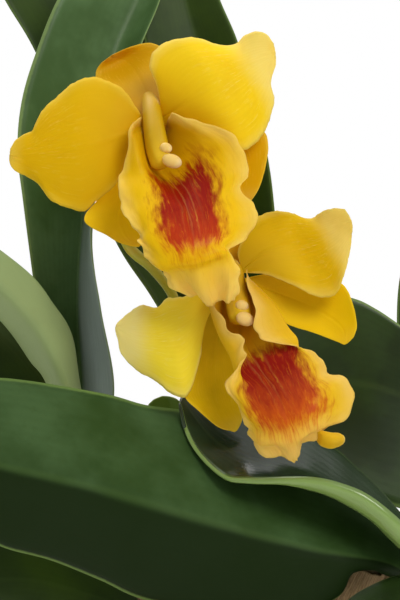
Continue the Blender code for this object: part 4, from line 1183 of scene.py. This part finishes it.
def tepal(name, near, left, middle, right, finish, slot, ruffle, crimp):
    """A petal or a sepal from its two margins and its midrib, waved and frilled at its margins."""
    rows, columns = TEPAL_GRID
    curves = [through(drawn(curve, near), rows + 1, TIP_SHARE) for curve in (left, middle, right)]
    grid = ruffled(across_blade(*curves, columns, TEPAL_CUP), *ruffle)
    grid = notched(crimped(grid, *crimp), 0.5 * crimp[0], 2 * crimp[1], crimp[2])
    grid = furrowed(grid, -TEPAL_KEEL)
    return blade(name, grid, thinned(grid, TEPAL_THICKNESS, TEPAL_EDGE), finish)


def smooth_step(value, low, high):
    share = np.clip((value - low) / (high - low), 0, 1)
    return share * share * (3 - 2 * share)


def lip(name, near, stations, finish, crease, seed):
    """The lip, lofted through cross-sections from its throat to its frilled front edge.

    Beyond the crease its front lobe is thrown into soft folds.
    """
    grid = ruffled(lofted_grid(stations, near, *LIP_STEPS), *LIP_FRILL)
    along, across = shares(grid)
    ridge = 1.8 * np.exp(-(((along - crease) / 0.03) ** 2)) * (1 - across**4)
    folds = np.sin(2 * math.pi * 1.25 * across + 0.9 + 1.5 * along) * (1 - 0.6 * across**2)
    folds = 2.0 * folds * smooth_step(along, crease, 0.95)
    bosses = 0.5 * np.sin(9 * along + 4 * across) * np.sin(7 * across - 5 * along + 1)
    towards = -1 if surface_normals(grid)[..., 1].mean() > 0 else 1
    grid = lifted(grid, towards * (ridge + folds + bosses * np.abs(across)))
    grid = notched(crimped(grid, *LIP_CRIMP, seed), *LIP_NOTCH, seed + 1)
    grid = furrowed(grid, LIP_FURROW * towards)
    return blade(name, grid, thinned(grid, LIP_THICKNESS, LIP_EDGE), finish)


def leaf(name, left, middle, right, finish, slot="leaf_skin", thickness=LEAF_THICKNESS, under=0.0):
    """A strap leaf, folded along its keel and rounded at its margins."""
    rows, columns = LEAF_GRID
    curves = [through(drawn(curve), rows + 1, TIP_SHARE) for curve in (left, middle, right)]
    grid = across_blade(*curves, columns, LEAF_FOLD)
    thick = thinned(grid, thickness, LEAF_EDGE_SHARE * thickness)
    return blade(name, grid, thick, finish, under)


def rolled_leaf(name, edge, hem, middle, right, finish):
    """A strap leaf whose left margin is rolled under, so that a hem of its underside shows."""
    rows, columns = LEAF_GRID
    curves = [through(drawn(curve), rows + 1, TIP_SHARE) for curve in (edge, middle, right, hem)]
    top = across_blade(*curves[:3], columns, LEAF_FOLD)
    steps = np.linspace(0, 1, HEM_STEPS + 1)[:-1][None, :, None]
    turn = curves[3][:, None, :] * (1 - steps) + curves[0][:, None, :] * steps
    turn = turn - np.array([0, HEM_BULGE, 0]) * np.sin(math.pi * steps)
    grid = np.concatenate([turn, top], axis=1)
    under = np.concatenate([np.ones(HEM_STEPS), [0.6], np.zeros(columns)])[None, :]
    thick = thinned(grid, LEAF_THICKNESS, LEAF_EDGE_SHARE * LEAF_THICKNESS)
    return blade(name, grid, thick, finish, under)


def bulb_radii(points):
    """A club's radii from its foot to its top, the widest above the middle."""
    belly = min(PSEUDOBULB_BELLY, 4.5 + (points[-1][2] - points[0][2]) / 14)
    return [PSEUDOBULB_NECK, 0.75 * belly, belly, belly, 0.7 * belly, PSEUDOBULB_NECK + 1]


def make_bulbs(green, tired):
    for index, (name, points) in enumerate(PSEUDOBULBS.items()):
        shrunk = OLD_BULB_RIB if name == OLD_BULB else BULB_RIB

        def swell(share, angle):
            rib = math.sin(BULB_RIBS * angle + index)
            joint = math.exp(-(((share * BULB_JOINTS) % 1 - 0.5) ** 2) / 0.004)
            return 1 + shrunk * rib * math.sin(math.pi * share) + 0.03 * joint

        finish = tired if name == OLD_BULB else green
        centres = through(points, BULB_RINGS)
        radii = along_radii(bulb_radii(points), BULB_RINGS)
        tube(name, centres, radii, finish, (name,), BULB_SIDES, swell)


def make_bulb_sheaths(finish):
    """Dry papery sheaths, split behind, with ribs down them and torn upper edges."""
    rows, columns = SHEATH_GRID
    for index, name in enumerate(SHEATHED):
        points = PSEUDOBULBS[name]
        draw = random.Random(SHEATH_SEED + index)
        tears = [draw.uniform(-1.6, 1.4) for _ in range(SHEATH_TEARS)]
        fine = 4 * rows
        centres = through(points, fine + 1)
        frames = stalk_frames(centres)
        radii = bulb_radii(points)
        grid = []
        for i in range(rows + 1):
            share = np.interp(i, [0, rows], SHEATH_SPAN)
            at = round(fine * share)
            side, front = frames[at]
            radius = np.interp(share, np.linspace(0, 1, len(radii)), radii)
            radius += SHEATH_CLEARANCE + SHEATH_FLARE * (i / rows) ** 3
            row = []
            for j in range(columns + 1):
                angle = math.radians(90 + SHEATH_WRAP * (1 - 2 * j / columns))
                rib = 0.18 * math.sin(j * 1.9) + 0.25 * math.sin(j * 0.55 + index)
                place = j / columns * (SHEATH_TEARS - 1)
                torn = np.interp(place, range(SHEATH_TEARS), tears) * (i / rows) ** 6
                outward = math.cos(angle) * side + math.sin(angle) * front
                row.append(centres[at] + (radius + rib) * outward + (0, 0, torn))
            grid.append(row)
        grid = np.array(grid)
        thick = np.full(grid.shape[:2], SHEATH_THICKNESS)
        blade(f"{name}_sheath", grid, thick, finish)


def turned(name, profile, segments):
    """A solid turned round the Z axis from (radius, height) pairs, up its outer side first."""
    angles = np.linspace(0, 2 * math.pi, segments, endpoint=False)
    points = [
        (radius * math.cos(angle), radius * math.sin(angle), height)
        for radius, height in profile
        for angle in angles
    ]
    last = (len(profile) - 1) * segments
    faces = ring_faces(len(profile), segments)
    faces.append(tuple(range(segments - 1, -1, -1)))
    faces.append(tuple(last + k for k in range(segments)))
    return placed(name, new_mesh(name, points, faces))


def pot_radius(height):
    """The radius of the wall's outer side at a height."""
    share = min(1, height / (POT_HEIGHT - POT_RIM_HEIGHT))
    return POT_BASE_RADIUS + share * (POT_WALL_TOP_RADIUS - POT_BASE_RADIUS)


def make_pot(finish):
    """The clay pot, turned in many small steps so that its rim's edges are rounded."""
    rim_bottom = POT_HEIGHT - POT_RIM_HEIGHT
    half = POT_WALL / 2
    profile = [(POT_BASE_RADIUS - POT_EDGE, 0), (POT_BASE_RADIUS - 0.4, 0.4)]
    profile += [(pot_radius(h), h) for h in np.linspace(POT_EDGE, rim_bottom, 24)]
    profile += [(POT_RIM_RADIUS - POT_EDGE, rim_bottom + 0.7)]
    profile += [(POT_RIM_RADIUS - 0.3, rim_bottom + 1.6), (POT_RIM_RADIUS, rim_bottom + 3)]
    profile += [(POT_RIM_RADIUS, h) for h in np.linspace(rim_bottom + 6, POT_HEIGHT - 3, 6)]
    for angle in np.linspace(0, math.pi, 9):
        radius = POT_RIM_RADIUS - half + half * math.cos(angle)
        profile.append((radius, POT_HEIGHT - 2 + 2 * math.sin(angle)))
    profile += [(POT_WALL_TOP_RADIUS - POT_WALL, rim_bottom)]
    profile += [(pot_radius(POT_FLOOR) - POT_WALL, POT_FLOOR)]
    pot = turned("pot_clay", profile, POT_SEGMENTS)
    for k in range(DRAIN_HOLES):
        angle = 2 * math.pi * k / DRAIN_HOLES + math.pi / 6
        ends = [(DRAIN_HOLE_RADIUS, -POT_FLOOR), (DRAIN_HOLE_RADIUS, 2 * POT_FLOOR)]
        drain = turned(f"drain_{k}", ends, 32)
        drain.location.x = MM * DRAIN_HOLE_CIRCLE * math.cos(angle)
        drain.location.y = MM * DRAIN_HOLE_CIRCLE * math.sin(angle)
        cut = pot.modifiers.new("drain", "BOOLEAN")
        cut.operation = "DIFFERENCE"
        cut.solver = "EXACT"
        cut.object = drain
        settle(pot)
        bpy.data.objects.remove(drain, do_unlink=True)
    pot.data.materials.clear()
    pot.data.materials.append(finish)
    pot.data.shade_smooth()
    pot.data.set_sharp_from_angle(angle=math.radians(40))
    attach(pot, "root")
    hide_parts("pot")


def make_loose_bark(finish):
    """Loose chips of bark scattered over the bed, each one sized and turned by chance."""
    given = {
        "Radius": LOOSE_CHIP_RADIUS * MM,
        "Spacing": LOOSE_CHIP_SPACING * MM,
        "Height": (BARK_TOP + 0.3 * LOOSE_CHIP_SIZE[2]) * MM,
        "Breakage": LOOSE_CHIP_BREAKAGE * MM,
    }
    tree = bpy.data.node_groups.new("loose_bark", "GeometryNodeTree")
    for name in given:
        tree.interface.new_socket(name, in_out="INPUT", socket_type="NodeSocketFloat")
    tree.interface.new_socket("Chips", in_out="OUTPUT", socket_type="NodeSocketGeometry")
    graph = Graph(tree)
    entry = graph.node("NodeGroupInput")
    radius, spacing, height, breakage = (Value(graph, entry.outputs[name]) for name in given)

    def made(kind, inputs, settings=None, output=0):
        return graph.value(kind, output, settings, inputs)

    circle = {"Vertices": 64, "Radius": radius}
    bed = made("GeometryNodeMeshCircle", circle, {"fill_type": "NGON"})
    lift = graph.vector(0.0, 0.0, height)
    bed = made("GeometryNodeTransform", {"Geometry": bed, "Translation": lift})
    spread = {"Mesh": bed, "Distance Min": spacing, "Density Max": 40000.0}
    spread["Seed"] = LOOSE_CHIP_SEED
    poisson = {"distribute_method": "POISSON"}
    spots = made("GeometryNodeDistributePointsOnFaces", spread, poisson)
    counts = dict(zip(("Vertices X", "Vertices Y", "Vertices Z"), LOOSE_CHIP_CORNERS))
    size = tuple(side * MM for side in LOOSE_CHIP_SIZE)
    chip = made("GeometryNodeMeshCube", {"Size": size, **counts})
    rough = made("ShaderNodeTexNoise", {"Scale": 190.0, "Detail": 2.0}, None, 1)
    middle = (0.5, 0.5, 0.5)
    rough = made("ShaderNodeVectorMath", {0: rough, 1: middle}, {"operation": "SUBTRACT"})
    reach = {0: rough, "Scale": breakage * 2}
    rough = made("ShaderNodeVectorMath", reach, {"operation": "SCALE"})
    chip = made("GeometryNodeSetPosition", {"Geometry": chip, "Offset": rough})

    def chance(least, most, seed):
        settings = {"data_type": "FLOAT_VECTOR"}
        return made("FunctionNodeRandomValue", {0: least, 1: most, "Seed": seed}, settings)

    turns = chance(*LOOSE_CHIP_TURNS, LOOSE_CHIP_SEED + 1)
    scales = chance(*LOOSE_CHIP_SCALES, LOOSE_CHIP_SEED + 2)
    copies = {"Points": spots, "Instance": chip, "Rotation": turns, "Scale": scales}
    chips = made("GeometryNodeInstanceOnPoints", copies)
    chips = made("GeometryNodeRealizeInstances", {"Geometry": chips})
    chips = made("GeometryNodeSetMaterial", {"Geometry": chips, "Material": finish})
    graph.node("NodeGroupOutput", None, {"Chips": chips})

    obj = placed("loose_bark", bpy.data.meshes.new("loose_bark"))
    scatter = obj.modifiers.new("loose_bark", "NODES")
    scatter.node_group = tree
    for item in tree.interface.items_tree:
        if item.in_out == "INPUT":
            scatter[item.identifier] = given[item.name]
    settle(obj)
    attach(obj, "root")


def curved_flap(name, stations, near, thickness, finish):
    """A small thin piece lofted from its root on what carries it to its free edge."""
    grid = lofted_grid(stations, near, FLAP_STEPS, FLAP_STEPS)
    thick = np.full(grid.shape[:2], thickness)
    return blade(name, grid, thick, finish, nodes=())


def make_bloom(prefix, near, tepals, lip_sections, crease, column, tepal_skins, lip_skin, skins):
    for (part, curves), skin in zip(tepals.items(), tepal_skins):
        slot = "petal_yellow" if "petal" in part else "sepal_gold"
        crimp = (*PETAL_CRIMP, near + len(part)) if "petal" in part else (*SEPAL_CRIMP, near)
        tepal(f"{prefix}_{part}", near, *curves, skins[skin], slot, RUFFLES[part], crimp)
    lip(f"{prefix}_lip", near, lip_sections, skins[lip_skin], crease, near)

    def winged(share, angle):
        return 1 + 0.1 * share * math.cos(2 * angle) + 0.04 * math.cos(5 * angle) * share

    path, lobes = column
    name = f"{prefix}_column"
    finish = skins["column_gold"]
    centres = through(drawn(path, near), COLUMN_RINGS)
    radii = along_radii(COLUMN_RADII, COLUMN_RINGS)
    tube(name, centres, radii, finish, (name,), COLUMN_SIDES, winged)
    for index, (place, length, width) in enumerate(lobes):
        middle = np.array(drawn([place], near)[0])
        half = np.array([length, 0.0, -LOBE_TILT * length])
        centres = through([middle - half, middle, middle + half], LOBE_RINGS)
        widths = width * np.sqrt(np.clip(1 - np.linspace(-1, 1, LOBE_RINGS) ** 2, 0.01, 1))
        lobe = f"{prefix}_anther_lobe_{index + 1}"
        tube(lobe, centres, widths, skins["anther_cream"], (), LOBE_SIDES)


def dress(node, finish):
    """A CAD node whose shape is right, with a finer material."""
    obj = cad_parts[node]
    for holder in obj.material_slots:
        holder.material = finish


def make_plant():
    makers = {
        "tepal": tepal_finish, "lip": lip_finish, "column": column_finish, "leaf": leaf_finish,
        "bulb": bulb_finish, "papery": papery_finish, "stem": stem_finish, "clay": clay_finish,
        "bark": bark_finish, "root": root_finish,
    }
    skins = {}
    for kind, rows in SKINS.items():
        for name, colours in rows.items():
            tones = [tone(*colour) for colour in colours]
            skins[name] = makers[kind](name, *tones, **SKIN_SETTINGS.get(name, {}))
    make_pot(skins["clay_fired"])
    dress("bark_mix", skins["bark_broken"])
    make_loose_bark(skins["bark_broken"])
    dress("rhizome", skins["root_grey"])
    make_bulbs(skins["bulb_green"], skins["old_bulb_brown"])
    make_bulb_sheaths(skins["papery"])
    curved_flap("old_sheath_flap", SHEATH_FLAP, 0, SHEATH_THICKNESS, skins["papery"])
    for name, curves in LEAVES.items():
        skin = skins[LEAF_SKINS.get(name, "leaf_green")]
        if name == "leaf_front_right":
            rolled_leaf(name, *ROLLED_MARGIN, *curves[1:], skin)
        else:
            under = LEFT_ARCHING_UNDER if name == "leaf_left_arching" else 0.0
            leaf(name, *curves, skin, under=under)
    leaf(
        "flower_sheath", *FLOWER_SHEATH, skins["sheath_green"], "sheath_skin",
        GREEN_SHEATH_THICKNESS,
    )
    for name, (path, radii, rings, skin, slot) in STALKS.items():
        centres = through(drawn(path), rings)
        tube(name, centres, along_radii(radii, rings), skins[skin], (name,))
    for prefix, bloom in BLOOMS.items():
        make_bloom(prefix, *bloom, skins)
    curved_flap(
        "lower_bloom_lip_curl", LOWER_LIP_CURL, LOWER_BLOOM_NEAR, LIP_THICKNESS,
        skins["lip_curl_gold"],
    )


def make_studio():
    """A white room, a pale round floor under the pot and two soft lights."""
    scene = bpy.context.scene
    scene.view_settings.view_transform = "Standard"
    world = bpy.data.worlds.new("white_room")
    scene.world = world
    world.use_nodes = True
    room = Graph(world.node_tree)
    _, depth, height = room.parts(room.value("ShaderNodeTexCoord", 0))
    around = 0.2 + room.rise(depth, -0.5, 0.6) * 0.4 + room.rise(height, -0.6, 0.8) * 0.32
    seen = room.value("ShaderNodeLightPath", 0)
    glow = around * (1 - seen) + seen
    sky = world.node_tree.nodes["Background"]
    world.node_tree.links.new(glow.socket, sky.inputs["Strength"])
    sky.inputs["Color"].default_value = (1, 1, 1, 1)

    bpy.ops.mesh.primitive_circle_add(vertices=96, radius=FLOOR_RADIUS, fill_type="NGON")
    floor = bpy.context.object
    floor.name = "pale_floor"
    plaster = Finish("pale_plaster", roughness=0.8)
    patches = (plaster.noise(8.0), tone(246, 246, 244))
    plaster.coloured(tone(238, 237, 234), patches)
    floor.data.materials.append(plaster.material)

    for name, (place, size, energy, colour) in LIGHTS.items():
        lamp = bpy.data.lights.new(name, "AREA")
        lamp.shape = "DISK"
        lamp.size = size
        lamp.energy = energy
        lamp.color = colour
        way = np.array(LIGHT_AIM, float) - np.array(place, float)
        way /= np.linalg.norm(way)
        obj = placed(name, lamp)
        obj.location = place
        obj.rotation_euler = (math.acos(-way[2]), 0, math.atan2(way[1], way[0]) - math.pi / 2)

    camera = placed("camera", bpy.data.cameras.new("camera"))
    camera.location = (MM * VIEW_CENTRE_X, -MM * VIEW_DISTANCE, MM * VIEW_CENTRE_Z)
    camera.rotation_euler = (math.pi / 2, 0, 0)
    camera.data.lens = CAMERA_LENS
    camera.data.sensor_width = CAMERA_SENSOR
    camera.data.clip_start = 0.01
    scene.camera = camera


make_plant()
make_studio()
